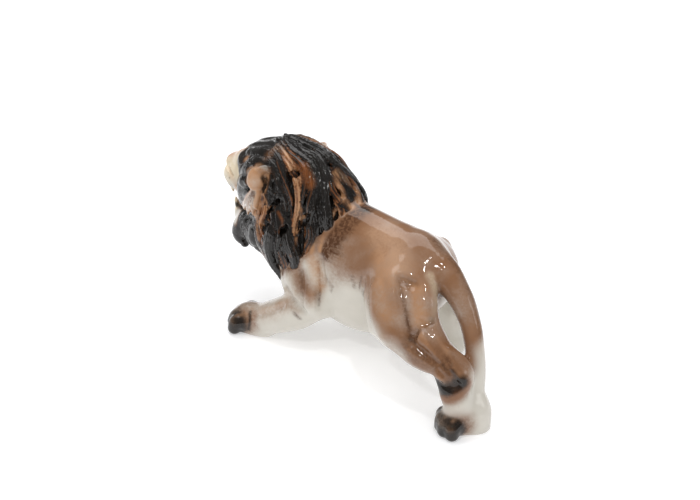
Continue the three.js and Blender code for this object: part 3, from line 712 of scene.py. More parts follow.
@dataclass
class ForeLegs:
    """The left fore leg, stretched ahead, and the right one, set back."""
    left_upper: Line = ((-50, -24, 84, 16), (-50, -33, 70, 17.5), (-36, -38, 58, 17))
    left_elbow: tuple[Point, Point, Point] = ((-58, -40, 62), (15, 11, 15), (0, 30, 0))
    left_lower: Line = ((-34, -40, 55, 16), (-54, -44, 38, 17.5), (-76, -48, 23, 15.5), (-94, -50, 13, 13))
    right_upper: Line = ((-50, 24, 84, 17), (-46, 34, 70, 17.5), (-34, 38, 58, 16))
    right_lower: Line = ((-34, 39, 58, 15.5), (-42, 42, 42, 14), (-50, 43, 26, 12.5), (-54, 43, 16, 12.5))
    left_paw: Paw = field(default_factory=lambda: Paw((-88, -49, 0), 194, 35, 36))
    right_paw: Paw = field(default_factory=lambda: Paw((-48, 45, 0), 172, 34, 34))
    paint: Sequence[Stroke] = (
        # Brown patches of both upper arms and forearms
        Stroke(BROWN, ((-47, -51, 80), (-40, -51, 74), (-31, -51, 69)), 8, 7, 0.95),
        Stroke(UMBER, ((-44, -52, 79), (-37, -53, 73)), 3, 5, 0.6),
        Stroke(BROWN, ((-58, -48, 68), (-50, -54, 60)), 4, 7, 0.4),
        Stroke(BROWN, ((-45, 50, 76), (-34, 50, 72)), 8, 9, 0.8),
        Stroke(BROWN, ((-53, -56, 52), (-41, -58, 51)), 4, 6, 0.4),
        Stroke(BROWN, ((-82, -60, 31), (-60, -59, 45)), 5, 8, 0.35),
        Stroke(TAN, ((-96, -56, 24), (-70, -58, 40), (-58, -54, 52)), 8, 9, 0.3),
        Stroke(BROWN, ((-52, 52, 34), (-44, 52, 46)), 5, 8, 0.3),
        # Dark strip of the shoulder along the mane, and painted shade in its creases
        Stroke(BROWN, ((-66, -47, 73), (-57, -47, 83), (-50, -40, 91), (-45, -37, 101)), 4.5, 4, 0.9),
        Stroke(UMBER, ((-67, -46, 74), (-57, -47, 84), (-51, -40, 92), (-46, -37, 101)), 2.6, 2.2, 0.95),
        Stroke(TAN, ((-40, -40, 96), (-32, -42, 88), (-27, -43, 76)), 5, 5, 0.6),
        Stroke(UMBER, ((-34, -38, 95), (-27, -43, 77), (-23, -50, 61)), 1, 1.6, 0.9),
        Stroke(BROWN, ((-65, -58, 44), (-50, -57, 52)), 4, 5, 0.4),
        Stroke(UMBER, ((-43, -59, 47), (-38, -58, 43)), 1.3, 2, 0.8),
        Stroke(UMBER, ((-21, -41, 84), (-17, -40, 78)), 0.8, 1.8, 0.8),
        Stroke(UMBER, ((-14, -41, 82), (-16, -41, 74)), 0.6, 1.6, 0.7),
        # Wrist of the left leg
        Stroke(AMBER, ((-91, -61, 24), (-87, -64, 15)), 4, 5, 0.45),
        Stroke(BLACK, ((-97, -60, 24), (-93, -65, 17), (-94, -66, 9)), 1.4, 1.4, 0.9))

    def sculpt(self, clay: Clay) -> None:
        """Lays both legs and their paws.

        Args:
            clay: the clay they are laid on.
        """
        clay.add(Limb(self.left_upper), join=9)
        clay.add(Ellipsoid(*self.left_elbow), join=6)
        clay.add(Limb(self.left_lower), join=6)
        clay.add(Limb(self.right_upper), join=9)
        clay.add(Limb(self.right_lower), join=6)
        self.left_paw.sculpt(clay)
        self.right_paw.sculpt(clay)

    def strokes(self) -> list[Stroke]:
        """Lists the paint: brown patches on the upper arm, cream below, dark toes."""
        return [*self.paint, *self.left_paw.strokes(), *self.right_paw.strokes()]


@dataclass
class HindLegs:
    """The left hind leg, pushing off behind, and the right one, under the body."""
    left: Sequence[tuple[Line, float]] = (
        (((46, -17, 98, 27), (51, -29, 87, 27), (56, -36, 76, 23)), 12),
        (((58, -38, 76, 21), (84, -41, 66, 19), (108, -40, 60, 15), (122, -39, 52, 13.5)), 9),
        (((119, -40, 54, 14), (122, -41, 38, 13.5), (128, -40, 20, 12.5), (128, -40, 12, 12.5)), 7))
    right: Sequence[tuple[Line, float]] = (
        (((42, 16, 96, 26), (34, 27, 82, 25), (26, 33, 67, 21)), 12),
        (((24, 34, 67, 19), (38, 36, 54, 15), (49, 38, 42, 12.5)), 8),
        (((50, 38, 44, 12.5), (52, 39, 26, 11), (50, 41, 13, 12)), 6))
    left_paw: Paw = field(default_factory=lambda: Paw((131, -35, 0), 240, 29, 26))
    right_paw: Paw = field(default_factory=lambda: Paw((57, 42, 0), 176, 31, 33))
    paint: Sequence[Stroke] = (
        # Brown thighs and shanks
        Stroke(BROWN, ((40, -40, 112), (56, -50, 96), (76, -54, 82)), 20, 9, 0.9),
        Stroke(BROWN, ((76, -56, 74), (98, -54, 70), (122, -52, 60)), 17, 6),
        Stroke(BROWN, ((70, -24, 108), (84, -32, 92), (100, -36, 78), (122, -32, 60)), 13, 5),
        Stroke(BROWN, ((44, 36, 104), (34, 46, 88)), 22, 12, 0.95),
        Stroke(BROWN, ((22, 52, 70), (38, 50, 56), (52, 46, 44)), 12, 8, 0.85),
        # Painted shade: a shadow in the pocket under the rump, dark lines in the grooves beside the
        # hamstring, and shade on the shank
        Stroke(UMBER, ((58, -34, 113), (65, -31, 111), (71, -26, 109)), 4.2, 4.5, 0.95),
        Stroke(UMBER, ((56, -37, 113), (66, -43, 103), (75, -48, 90), (82, -52, 81)), 1.6, 2.2, 1),
        Stroke(UMBER, ((92, -38, 92), (88, -45, 87), (84, -51, 80)), 2.4, 3, 0.9),
        Stroke(UMBER, ((85, -57, 70), (98, -54, 69), (112, -50, 66), (125, -50, 62)), 9, 9, 0.6),
        # Pale places of thigh, rump and hamstring
        Stroke(CREAM, ((41, -57, 80), (61, -61, 72), (80, -60, 62)), 5, 8, 0.6),
        Stroke(TAN, ((16, -15, 134), (35, -22, 128), (50, -34, 121)), 13, 11, 0.55),
        Stroke(TAN, ((28, -31, 118), (46, -46, 106), (60, -55, 92)), 8, 10, 0.5),
        Stroke(CREAM, ((16, -15, 136), (35, -22, 130), (48, -32, 124)), 9, 12, 0.25),
        Stroke(TAN, ((68, -29, 108), (75, -33, 100), (82, -38, 93)), 5, 6, 0.7),
        Stroke(TAN, ((72, -30, 110), (79, -37, 98), (84, -42, 90)), 6, 5, 0.6),
        Stroke(IVORY, ((72, -18, 116), (81, -24, 105), (85, -30, 97), (86, -35, 91)), 3.6, 4, 0.85, True),
        Stroke(CREAM, ((64, 4, 96), (74, 2, 88)), 10, 6, 0.9, True),
        # Painted shade: black in the pit by the knee and in the creases of the shank and the heel, umber
        # beside them
        Stroke(BLACK, ((82, -53, 77), (88, -53, 76)), 1, 2, 0.7),
        Stroke(BLACK, ((116, -51, 66), (126, -53, 60)), 0.8, 2.4, 0.7),
        Stroke(BLACK, ((125, -50, 64), (130, -50, 58), (126, -53, 49)), 1.6, 2.2, 0.85),
        Stroke(UMBER, ((116, -47, 71), (123, -48, 67), (127, -49, 62)), 1.4, 2.4, 0.8),
        # Band round each hock, and the cream foot below it
        Stroke(BROWN, ((112, -52, 34), (123, -55, 38), (131, -51, 43), (136, -44, 50)), 8, 5),
        Stroke(AMBER, ((112, -52, 38), (123, -55, 42), (131, -51, 47), (136, -44, 54)), 5, 4, 0.6),
        Stroke(BLACK, ((106, -46, 43), (114, -54, 44), (124, -56, 47), (134, -48, 55)), 6.5, 3, 0.98),
        Stroke(BLACK, ((44, 50, 36), (56, 46, 34)), 3, 4, 0.6),
        Stroke(CREAM, ((112, -50, 24), (126, -50, 26), (136, -44, 30)), 5, 6, 0.7))

    def sculpt(self, clay: Clay) -> None:
        """Lays both legs and their paws.

        Args:
            clay: the clay they are laid on.
        """
        for leg, paw in ((self.left, self.left_paw), (self.right, self.right_paw)):
            for stations, join in leg:
                clay.add(Limb(stations), join)
            paw.sculpt(clay)

    def strokes(self) -> list[Stroke]:
        """Lists the paint: brown thighs and shanks, dark hock bands, cream below."""
        return [*self.paint, *self.left_paw.strokes(), *self.right_paw.strokes()]


@dataclass
class Tail:
    """The tail, in one long arc from the rump to the left hind foot, where its tuft is fused."""
    spine: Line = (
        (44, 0, 118, 18), (70, -1, 115, 14.5), (93, -4, 101, 11), (109, -8, 83, 8.8),
        (120, -14, 63, 8), (126, -19, 45, 8), (129, -24, 31, 8.6), (135, -28, 16, 12.5), (135, -28, 2, 12.5))
    paint: Sequence[Stroke] = (
        Stroke(UMBER, ((57, 6, 136), (82, 4, 126), (101, 2, 108), (116, -3, 87), (122, -8, 76)), 4, 7, 0.7),
        # Painted shade: brown and amber down the inner side of the tail, where it meets the hock
        Stroke(BROWN, ((112, -12, 72), (118, -18, 58), (122, -24, 48)), 7, 6, 0.9),
        Stroke(AMBER, ((113, -17, 64), (119, -23, 56), (124, -30, 49), (128, -38, 46)), 4, 4, 0.6),
        Stroke(BROWN, ((118, -8, 76), (125, -12, 64), (128, -16, 54)), 6, 8, 0.5),
        Stroke(CREAM, ((129, -8, 66), (133, -14, 50), (140, -24, 26), (142, -28, 2)), 9, 7))
    brown_end: Point = (115, -11, 74)

    def sculpt(self, clay: Clay) -> None:
        """Lays the tail."""
        clay.add(Limb(self.spine), join=7)

    def strokes(self) -> list[Stroke]:
        """Lists the paint: brown to its lower third, darker outside, then cream, with painted shade where it
        meets the hock.
        """
        root = [station[:3] for station in self.spine[:4]]
        return [Stroke(BROWN, [*root, self.brown_end], 14, 7), *self.paint]


@dataclass
class Muscles:
    """Muscles that stand out, and the creases and folds pressed in beside them."""
    hamstring: Line = (
        (62, -14, 116, 8), (72, -23, 108, 9), (78, -29, 99, 10.5), (83, -34, 88, 11), (93, -38, 76, 11))
    raised: Sequence[Line] = (
        ((50, -35, 112, 6), (62, -42, 100, 6.5), (72, -47, 87, 5)),
        ((40, -46, 102, 6), (50, -54, 88, 7), (60, -57, 76, 6)),
        ((88, -46, 84, 5), (98, -46, 78, 6), (110, -44, 70, 5)),
        ((22, -38, 96, 4), (31, -48, 82, 5), (38, -55, 68, 5)),
        ((-56, -44, 72, 6), (-44, -48, 64, 6)),
        ((-40, -42, 90, 6), (-32, -47, 74, 6.5), (-30, -47, 58, 5)),
        ((42, 32, 106, 6), (40, 40, 92, 6.5), (34, 44, 78, 5)),
        ((-38, 42, 88, 6), (-31, 46, 74, 6), (-28, 46, 60, 5)))
    pressed: Sequence[Line] = (
        ((55, -36, 116, 2), (66, -46, 105, 3.2), (76, -50, 91, 3.4), (84, -54, 81, 2.8)),
        ((58, -33, 114, 2), (66, -29, 111, 2.4), (71, -25, 109, 1)),
        ((93, -38, 92, 1.4), (88, -46, 87, 2.6), (84, -52, 80, 2.6)),
        ((20, -40, 98, 0.8), (20, -44, 82, 2), (23, -46, 66, 2)),
        ((87, -58, 78, 1.6), (97, -57, 74, 2.4), (112, -54, 67, 1.6)),
        ((88, -46, 96, 0.8), (102, -48, 83, 1.8), (116, -48, 70, 1.4)),
        ((-31, -43, 100, 0.8), (-24, -48, 85, 2), (-19, -52, 72, 2), (-16, -53, 60, 1)),
        ((-48, -48, 84, 1), (-41, -54, 72, 2.2), (-38, -56, 60, 1.4)),
        ((-53, -61, 60, 1), (-43, -63, 56, 2.4), (-34, -61, 52, 1.8)),
        ((-60, -62, 50, 0.8), (-74, -65, 38, 1.6), (-88, -64, 26, 0.8)),
        ((104, -53, 48, 1), (120, -59, 49, 2.4), (136, -53, 52, 1.6)),
        ((113, -55, 62, 0.8), (122, -56, 58, 1.8), (128, -54, 50, 1.4)),
        ((119, -53, 68, 0.8), (127, -52, 60, 1.6), (131, -50, 52, 1)),
        ((20, 41, 98, 0.8), (14, 45, 82, 2), (8, 45, 66, 1.4)),
        ((56, 35, 106, 1), (54, 44, 93, 2.6), (46, 50, 80, 2)),
        ((-33, 43, 98, 1), (-26, 47, 84, 2.2), (-20, 50, 70, 2)))
    dimples: Sequence[tuple[Point, Point, float]] = (
        ((-12, -50, 78), (6, 6, 10), 10), ((85, -60, 78), (5, 5, 4), 5))

    def sculpt(self, clay: Clay) -> None:
        """Raises the muscles and presses the folds.

        Args:
            clay: the clay of trunk, legs and tail.
        """
        clay.add(Limb(self.hamstring), join=7)
        for line in self.raised:
            clay.add(Limb(clay.on_skin(line, sink=0.6)), join=7)
        for line in self.pressed:
            clay.carve(Limb(clay.on_skin(line, sink=0)), join=5)
        for centre, radii, join in self.dimples:
            clay.carve(Ellipsoid(centre, radii), join)

    def strokes(self) -> list[Stroke]:
        """Lists the painted shade: brown darkening along each pressed fold."""
        return [Stroke(BROWN, [station[:3] for station in line], 3.5, 4, 0.35) for line in self.pressed]


@dataclass
class Lock:
    """One combed lock of the mane: its form, and how light it is at its root and at its tip."""
    form: Limb
    root_tone: float
    tip_tone: float


@dataclass
class Mane:
    """The mane: a ruff over neck and shoulders, combed back and down from the crown."""
    lock_width: float = 12
    lock_depth: float = 8
    wave: float = 3.4
    wave_turns: float = 3.4
    stations: int = 8
    long_locks: int = 14
    strands: int = 40
    under_locks: int = 12
    cheek_locks: int = 8
    face_locks: int = 9
    fringe_locks: int = 6
    fringe_radii: Point = (3.4, 3.4, 1)
    parting_lift: float = 3.6
    parting_radius: float = 3.6
    face_root: float = -134
    face_bulge: float = 6
    face_tip: float = -104
    brow_tip: float = -119
    ruff: Sequence[tuple[Point, Point]] = (
        ((-104, 0, 134), (29, 32, 36)), ((-76, 0, 125), (36, 30, 42)), ((-88, 0, 98), (40, 38, 38)),
        ((-128, 0, 78), (25, 22, 22)), ((-48, 0, 118), (24, 25, 28)), ((-72, -24, 86), (28, 22, 33)),
        ((-72, 24, 86), (28, 22, 33)))
    roots: Line = (
        (-112, 40, 137), (-100, 33, 143), (-104, 23, 163), (-104, 9, 171), (-100, 3, 172), (-108, 3, 164))
    shoulders: Line = (
        (-127, 33, 115), (-98, 37, 129), (-84, 27, 151), (-71, 18, 161), (-58, 9, 165), (-57, 3, 164))
    falls: Line = (
        (-137, 27, 90), (-95, 41, 106), (-70, 39, 119), (-57, 32, 128), (-41, 25, 135), (-34, 3, 147))
    tips: Line = (
        (-148, 20, 63), (-84, 47, 84), (-66, 47, 78), (-53, 46, 82), (-42, 39, 94), (-11, 3, 138))
    hem: Line = (
        (-112, 36, 56), (-92, 42, 52), (-68, 46, 52), (-48, 48, 70), (-34, 42, 98), (-22, 26, 122),
        (-6, 5, 138))
    cheek: Line = (
        (-148, 12, 84), (-138, 24, 104), (-126, 31, 122), (-112, 35, 128), (-98, 38, 134))
    beard_edge: Line = (
        (-154, 6, 60), (-144, 18, 58), (-126, 30, 57), (-106, 40, 54), (-84, 45, 50))
    tufts: Sequence[Line] = (
        ((-150, 4, 77, 11), (-156, 6, 66, 9.5), (-152, 7, 55, 4)),
        ((-144, 11, 76, 12), (-150, 15, 66, 9.5), (-146, 16, 55, 4)),
        ((-129, 15, 77, 12), (-130, 18, 70, 9), (-124, 18, 61, 4)),
        ((-117, 22, 80, 13), (-116, 25, 74, 8), (-109, 25, 65, 4)))
    pits: Sequence[tuple[Point, Point]] = (
        ((-74, 23, 159), (4, 3.5, 9)), ((-86, 36, 128), (3, 3.5, 11)), ((-70, 42, 112), (3, 3.5, 8)),
        ((-92, 42, 104), (3, 3.5, 9)), ((-54, 32, 126), (3, 3, 8)))
    fringe_root: Point = (-106, 39, 136)
    fringe_tips: Line = ((-134, 26, 101), (-126, 31, 102), (-115, 37, 107), (-104, 40, 115))
    band: Line = ((-14, 3, 137), (-18, 17, 130), (-23, 27, 119), (-26, 35, 106))
    tones: Sequence[tuple[float, float]] = (
        (0.05, 0.05), (0.5, 0.1), (0.6, 0.45), (0.2, 0.1), (0.1, 0.1), (0.25, 0.3), (0.75, 0.5),
        (0.45, 0.2), (0.1, 0.15), (0.1, 0.25), (0.15, 0.6), (0.05, 0.1))
    paint: Sequence[Stroke] = (
        Stroke(AMBER, ((-76, 19, 165), (-70, 23, 155)), 1.4, 1.4, 0.9, True),
        Stroke(TAN, ((-68, 25, 151), (-63, 29, 139), (-60, 31, 133), (-58, 31, 126)), 2.6, 1.2, 1, True),
        Stroke(TAN, ((-60, 31, 125), (-59, 38, 114)), 2, 1.4, 0.9, True),
        Stroke(TAN, ((-58, 40, 109), (-57, 46, 95)), 1.8, 1.4, 0.8, True),
        Stroke(AMBER, ((-69, 17, 164), (-58, 20, 155)), 5, 3, 1, True),
        Stroke(TAN, ((-35, 11, 142), (-34, 19, 131), (-36, 24, 120), (-35, 35, 104)), 1.6, 1, 0.95, True),
        Stroke(TAN, ((-49, -3, 160), (-40, -5, 153), (-32, -8, 143)), 3, 2, 0.9, True),
        Stroke(TAN, ((-35, 9, 144), (-26, 5, 137)), 3.6, 2, 0.9, True),
        Stroke(TAN, ((-45, 28, 111), (-43, 37, 100)), 1.8, 1.4, 0.8, True),
        Stroke(TAN, ((-48, 34, 106), (-50, 39, 92)), 2.2, 1.4, 0.8, True),
        Stroke(TAN, ((-95, 36, 130), (-87, 39, 120), (-78, 43, 109)), 2.2, 1.5, 0.9, True),
        Stroke(AMBER, ((-99, 39, 118), (-106, 37, 98), (-94, 45, 92)), 3, 2.5, 0.8, True),
        Stroke(TAN, ((-86, 25, 155), (-80, 28, 147)), 2, 1.2, 0.9, True),
        Stroke(TAN, ((-78, 33, 133), (-75, 34, 128)), 2.4, 1.4, 0.9, True),
        Stroke(AMBER, ((-79, 39, 126), (-72, 41, 120), (-71, 45, 112)), 1.6, 1.2, 0.9, True),
        Stroke(BLACK, ((-57, 5, 166), (-45, 5, 157), (-31, 1, 145), (-12, 0, 138)), 3, 2, 0.9, True),
        Stroke(BLACK, ((-56, 14, 158), (-44, 18, 143), (-44, 27, 122), (-48, 33, 108)), 4.5, 3, 0.9, True),
        Stroke(BLACK, ((-96, 29, 147), (-85, 35, 129), (-68, 45, 110), (-65, 48, 90)), 2.6, 2, 0.7, True),
        Stroke(BLACK, ((-128, 2, 163), (-108, 7, 173), (-103, 27, 161)), 9, 7, 0.9, True),
        Stroke(TAN, ((-107, 21, 164), (-105, 16, 168)), 4.5, 4, 0.4, True),
        Stroke(TAN, ((-134, 22, 151),), 3.2, 2.6, 0.85, True),
        Stroke(TAN, ((-101, 38, 127), (-97, 41, 112), (-92, 44, 100)), 1.8, 1.4, 0.85, True),
        Stroke(TAN, ((-107, 38, 118), (-104, 41, 104), (-100, 43, 90)), 1.6, 1.3, 0.85, True),
        Stroke(TAN, ((-90, 41, 118), (-86, 44, 106), (-85, 47, 95)), 1.2, 1, 0.85, True),
        Stroke(AMBER, ((-99, 42, 96), (-96, 43, 84), (-92, 44, 74)), 2, 2, 0.7, True))
    locks: list[Lock] = field(default_factory=list)

    GUIDES = ("roots", "shoulders", "falls", "tips", "hem", "cheek", "beard_edge")
    GRAIN = 400
    FLOW_STEPS = 60
    SEATINGS = 6
    PLAIN_TONE = 0.2
    RUFF_DEPTH = 2.0
    COMB_REACH = 6
    LOCK_SHIFT = 7.3
    MASS_JOIN = 12
    SLOPE_STEP = 0.5
    OUTWARD_STEP = 4.0
    RUN_POINTS = 20
    PAST_HEM = 1.03
    FACE_TONE = (0.1, 0.15)
    TUFT_TONE = (0.05, 0.05)
    PIT_TURN = (0, 30, 0)
    SHORT_FACE_LOCKS = (3, 4)
    UNDER_SEED, END_SEED, PARTING_SEED, LIFT_SEED, STRAND_SEED = 40, 11, 31, 60, 200

    def __post_init__(self) -> None:
        """Makes the masses of the ruff and the guide lines."""
        self.masses = [Ellipsoid(centre, radii) for centre, radii in self.ruff]
        self.lines = {name: curve_points(getattr(self, name), self.GRAIN) for name in self.GUIDES}

    def ruff_distance(self, p: Array) -> Array:
        """Measures points against the bare ruff.

        Args:
            p: the points.

        Returns:
            Their distance to it, negative inside.
        """
        d = np.full(p.shape[:-1], FAR)
        for form in self.masses:
            d = soften(d, form.distance(p), self.MASS_JOIN)
        return d

    def on_ruff(self, p: Array, lift: Array) -> Array:
        """Moves points onto the ruff, then out.

        Args:
            p: the points.
            lift: how far each goes out.

        Returns:
            The moved points.
        """
        q = np.array(p, float)
        step = self.SLOPE_STEP * np.eye(3)
        for _ in range(self.SEATINGS):
            d = self.ruff_distance(q)
            slope = np.stack([self.ruff_distance(q + s) - d for s in step], -1)
            slope /= np.linalg.norm(slope, axis=-1, keepdims=True)
            q = q + slope * (lift - d)[..., None]
        return q

    def at(self, name: str, t: float) -> Array:
        """Gives the point at share t of a guide line."""
        return self.lines[name][int(round(t * self.GRAIN))]

    def flow(self, u: float, start: float = 0.0, end: float = 1.0) -> Array:
        """Gives the comb line at share u of the way from the face to the crest.

        Args:
            u: 0 beside the face, 1 on the crest.
            start: share of the line at which it begins.
            end: share at which it ends.

        Returns:
            Points from root to tip.
        """
        control = [self.at(name, u) for name in ("roots", "shoulders", "falls", "tips")]
        line = curve_points(control, self.FLOW_STEPS)
        return line[int(self.FLOW_STEPS * start):int(self.FLOW_STEPS * end) + 1]

    def tone_at(self, u: float) -> tuple[float, float]:
        """Gives the lightness of root and tip at share u of the way from the face to the crest."""
        return self.tones[int(round(u * (len(self.tones) - 1)))]

    def path(self, guide: Array, lift: float, phase: float) -> tuple[Array, Array, Array]:
        """Runs a waving path over the ruff.

        Args:
            guide: points that it follows.
            lift: height above the ruff.
            phase: angle at which the sway begins.

        Returns:
            Its shares of length, its places and its outward directions.
        """
        t = np.arange(self.stations) / (self.stations - 1)
        p = np.asarray(guide)[np.round(t * (len(guide) - 1)).astype(int)]
        seat = self.on_ruff(p, np.zeros(self.stations))
        out = self.on_ruff(p, np.full(self.stations, self.OUTWARD_STEP)) - seat
        out /= np.linalg.norm(out, axis=1, keepdims=True)
        aside = np.cross(out, np.gradient(p, axis=0))
        aside /= np.linalg.norm(aside, axis=1, keepdims=True)
        sway = np.sin(t * math.pi * self.wave_turns + phase) * self.wave * (0.3 + 0.7 * t)
        place = self.on_ruff(p, lift * np.sin(math.pi * (0.15 + 0.75 * t))) + aside * sway[:, None]
        return t, place, out

    def lay_lock(self, clay: Clay, guide: Array, width: float, lift: float, phase: float,
                 tone: tuple[float, float], join: float = 1.2) -> None:
        """Lays one lock on each side, broad in the middle and tapering to its tip.

        Args:
            clay: the clay it is laid on.
            guide: points that it follows.
            width: its greatest breadth.
            lift: height above the ruff.
            phase: angle at which its sway begins.
            tone: lightness of its root and its tip.
            join: width of the fillet at its foot.
        """
        t, place, out = self.path(guide, lift, phase)
        belly = 0.6 + 0.4 * np.sin(math.pi * np.minimum(1, t * 1.2 + 0.1))
        radius = width * 0.5 * belly * np.where(t > 0.9, 0.5, 1)
        flat = self.lock_depth / self.lock_width
        for side in SIDES:
            flip = (1, side, 1)
            form = Limb(np.column_stack([place * flip, radius]), 3, flat, out[self.stations // 2] * flip)
            clay.add(form, join)
            self.locks.append(Lock(form, *tone))

    def part(self, clay: Clay, guide: Array, phase: float) -> None:
        """Presses a parting between two locks on each side.

        Args:
            clay: the clay it is pressed into.
            guide: points that it follows.
            phase: angle at which its sway begins.
        """
        t, place, _ = self.path(guide, self.parting_lift, phase)
        radius = self.parting_radius * np.sin(math.pi * (0.12 + 0.76 * t))
        for side in SIDES:
            clay.carve(Limb(np.column_stack([place * (1, side, 1), radius]), 3), join=1.6)

    def frame_face(self, clay: Clay) -> None:
        """Lays short locks round the face, swept back from it.

        Args:
            clay: the clay they are laid on.
        """
        for i in range(self.face_locks):
            turn = math.pi * (0.05 + 0.77 * i / (self.face_locks - 1))
            up = math.cos(turn)
            root = self.face_root - self.face_bulge * up * up
            tip = self.brow_tip if i in self.SHORT_FACE_LOCKS else self.face_tip
            for side in SIDES:
                aside = math.sin(turn) * side
                form = Limb([
                    (root - 5, 24 * aside, 123 + 24 * up, 2.5), (root + 3, 27 * aside, 125 + 28 * up, 5.5),
                    (root + (tip - root) * 0.6, 32 * aside, 129 + 32.5 * up, 6.5),
                    (tip, 36 * aside, 132 + 35 * up, 4)])
                clay.add(form, join=4)
                self.locks.append(Lock(form, *self.FACE_TONE))

    def lay_under_locks(self, clay: Clay) -> None:
        """Lays the straight locks from below the crest to past the hem.

        Args:
            clay: the clay they are laid on.
        """
        run = np.linspace(0, self.PAST_HEM, self.RUN_POINTS)[:, None]
        for i in range(self.under_locks):
            t = (i + 0.5) / self.under_locks
            top = self.at("shoulders", t) * 0.4 + self.at("falls", t) * 0.6
            guide = top + run * (self.at("hem", t) - top)
            tone = (0.1, 0.12 + 0.4 * (i % 3 == 1))
            phase = 9 * t + chance(self.UNDER_SEED + i)
            self.lay_lock(clay, guide, self.lock_width, 0.4 + 2.4 * (i % 2), phase, tone)

    def lay_cheek_locks(self, clay: Clay) -> None:
        """Lays the locks from the cheek to the edge of the beard.

        Args:
            clay: the clay they are laid on.
        """
        run = np.linspace(0, 1, self.RUN_POINTS)[:, None]
        for i in range(self.cheek_locks):
            t = i / (self.cheek_locks - 1)
            top = self.at("cheek", t)
            guide = top + run * (self.at("beard_edge", t) - top)
            self.lay_lock(clay, guide, self.lock_width * 0.8, 1.4, 2.5 * i, (0.05, 0.1 if i % 3 else 0.4))

    def lay_long_locks(self, clay: Clay) -> None:
        """Lays the long combed locks, and then presses the partings between them.

        Args:
            clay: the clay they are laid on.
        """
        for i in range(self.long_locks):
            u = i / (self.long_locks - 1)
            guide = self.flow(u, 0, 0.84 + 0.16 * chance(self.END_SEED + i))
            lift = 1.4 + 2.6 * chance(self.LIFT_SEED + i)
            self.lay_lock(clay, guide, self.lock_width, lift, 9 * u, self.tone_at(u))
        for i in range(self.long_locks - 1):
            u = (i + 0.5) / (self.long_locks - 1)
            guide = self.flow(u, 0.1, 0.75 + 0.24 * chance(self.PARTING_SEED + i))
            self.part(clay, guide, 9 * u)

    def lay_strands(self, clay: Clay) -> None:
        """Lays the thin strands that cross the long locks.

        Args:
            clay: the clay they are laid on.
        """
        for i in range(self.strands):
            place, start, end, shade, width, lift, sway = (
                chance(self.STRAND_SEED + 100 * n + i) for n in range(7))
            u = (i + place) / self.strands
            guide = self.flow(u, 0.45 * start ** 2, 1 - 0.3 * end ** 2)
            root_tone, tip_tone = self.tone_at(u)
            shift = 0.35 * (shade - 0.5)
            tone = (root_tone + shift, tip_tone + shift)
            self.lay_lock(clay, guide, 4 + 3 * width, 2.6 + 3.2 * lift, 9 * u + 1.2 * sway, tone, 0.8)

    def finish_side(self, clay: Clay, side: int) -> None:
        """Presses the deep pits of one side, and lays its beard tufts and the fringe below its ear.

        Args:
            clay: the clay of the mane.
            side: 1 or -1.
        """
        for centre, radii in self.pits:
            clay.carve(Ellipsoid(*mirrored([centre], side), radii, self.PIT_TURN), join=2.5)
        for tuft in self.tufts:
            form = Limb(mirrored(tuft, side))
            clay.add(form, join=5)
            self.locks.append(Lock(form, *self.TUFT_TONE))
        for line in self.fringe_lines(side):
            clay.add(Limb(np.column_stack([line, self.fringe_radii])), join=1)

    def sculpt(self, clay: Clay) -> None:
        """Lays the ruff, its locks and the beard.

        Args:
            clay: the clay they are laid on.
        """
        for form in self.masses:
            clay.add(form, join=10)
        self.frame_face(clay)
        self.lay_under_locks(clay)
        self.lay_cheek_locks(clay)
        self.lay_long_locks(clay)
        self.lay_strands(clay)
        for side in SIDES:
            self.finish_side(clay, side)

    def fringe_lines(self, side: int) -> list[Array]:
        """Finds the locks of the short pale hair that fans forward and down from below an ear.

        Args:
            side: 1 or -1.

        Returns:
            Root, middle and tip of each lock.
        """
        edge = curve_points(self.fringe_tips, self.FLOW_STEPS)
        lines = []
        for i in range(self.fringe_locks):
            share = i / (self.fringe_locks - 1)
            tip = edge[int(self.FLOW_STEPS * share)] + (0, 0, 4 * (i % 2))
            root = np.array(self.fringe_root, float) + (share * 4 - 2, 0, 0)
            middle = (root + tip) / 2 + (0, 2.5, 0)
            lines.append(np.array([root, middle, tip]) * (1, side, 1))
        return lines

    def strokes(self) -> list[Stroke]:
        """Lists the paint brushed over the mane.

        Returns:
            The pale fringe with painted shade in the partings between its locks, the band behind the mane,
            and the tan, amber and dark strips.
        """
        result = []
        for side in SIDES:
            fringe = self.fringe_lines(side)
            result += [Stroke(TAN, line, 3.9, 1.1, 0.97, True) for line in fringe]
            for a, b in zip(fringe[:-1], fringe[1:]):
                # Painted shade: an umber line in the groove between two locks of the fringe
                parting = (a + b) / 2 + (1, 3.7 * side, 1.4)
                result.append(Stroke(UMBER, parting, 1.1, 1.4, 0.95, True))
            result.append(Stroke(UMBER, mirrored(self.band, side), 7.5, 1.8, 1, True))
            result += [stroke.on(side) for stroke in self.paint]
        return result

    def comb(self, p: Array) -> tuple[Array, Array, Array, Array]:
        """Finds the lock that each point lies on.

        Args:
            p: the points.

        Returns:
            Distance to the hair, tone, place across the lock and place along it.
        """
        gap = self.ruff_distance(p) + self.RUFF_DEPTH
        tone, across, along = np.full(len(p), self.PLAIN_TONE), p[:, 1].copy(), np.zeros(len(p))
        best = gap.copy()
        for n, lock in enumerate(self.locks):
            low, high = lock.form.low - self.COMB_REACH, lock.form.high + self.COMB_REACH
            near = np.flatnonzero(((p > low) & (p < high)).all(1))
            if not len(near):
                continue
            c = lock.form.comb(p[near])
            kept = c.gap < best[near]
            hit = near[kept]
            best[hit] = c.gap[kept]
            tone[hit] = lock.root_tone + (lock.tip_tone - lock.root_tone) * c.along[kept]
            across[hit] = c.across[kept] + self.LOCK_SHIFT * n
            along[hit] = c.along[kept]
        return np.minimum(best, gap), tone, across, along


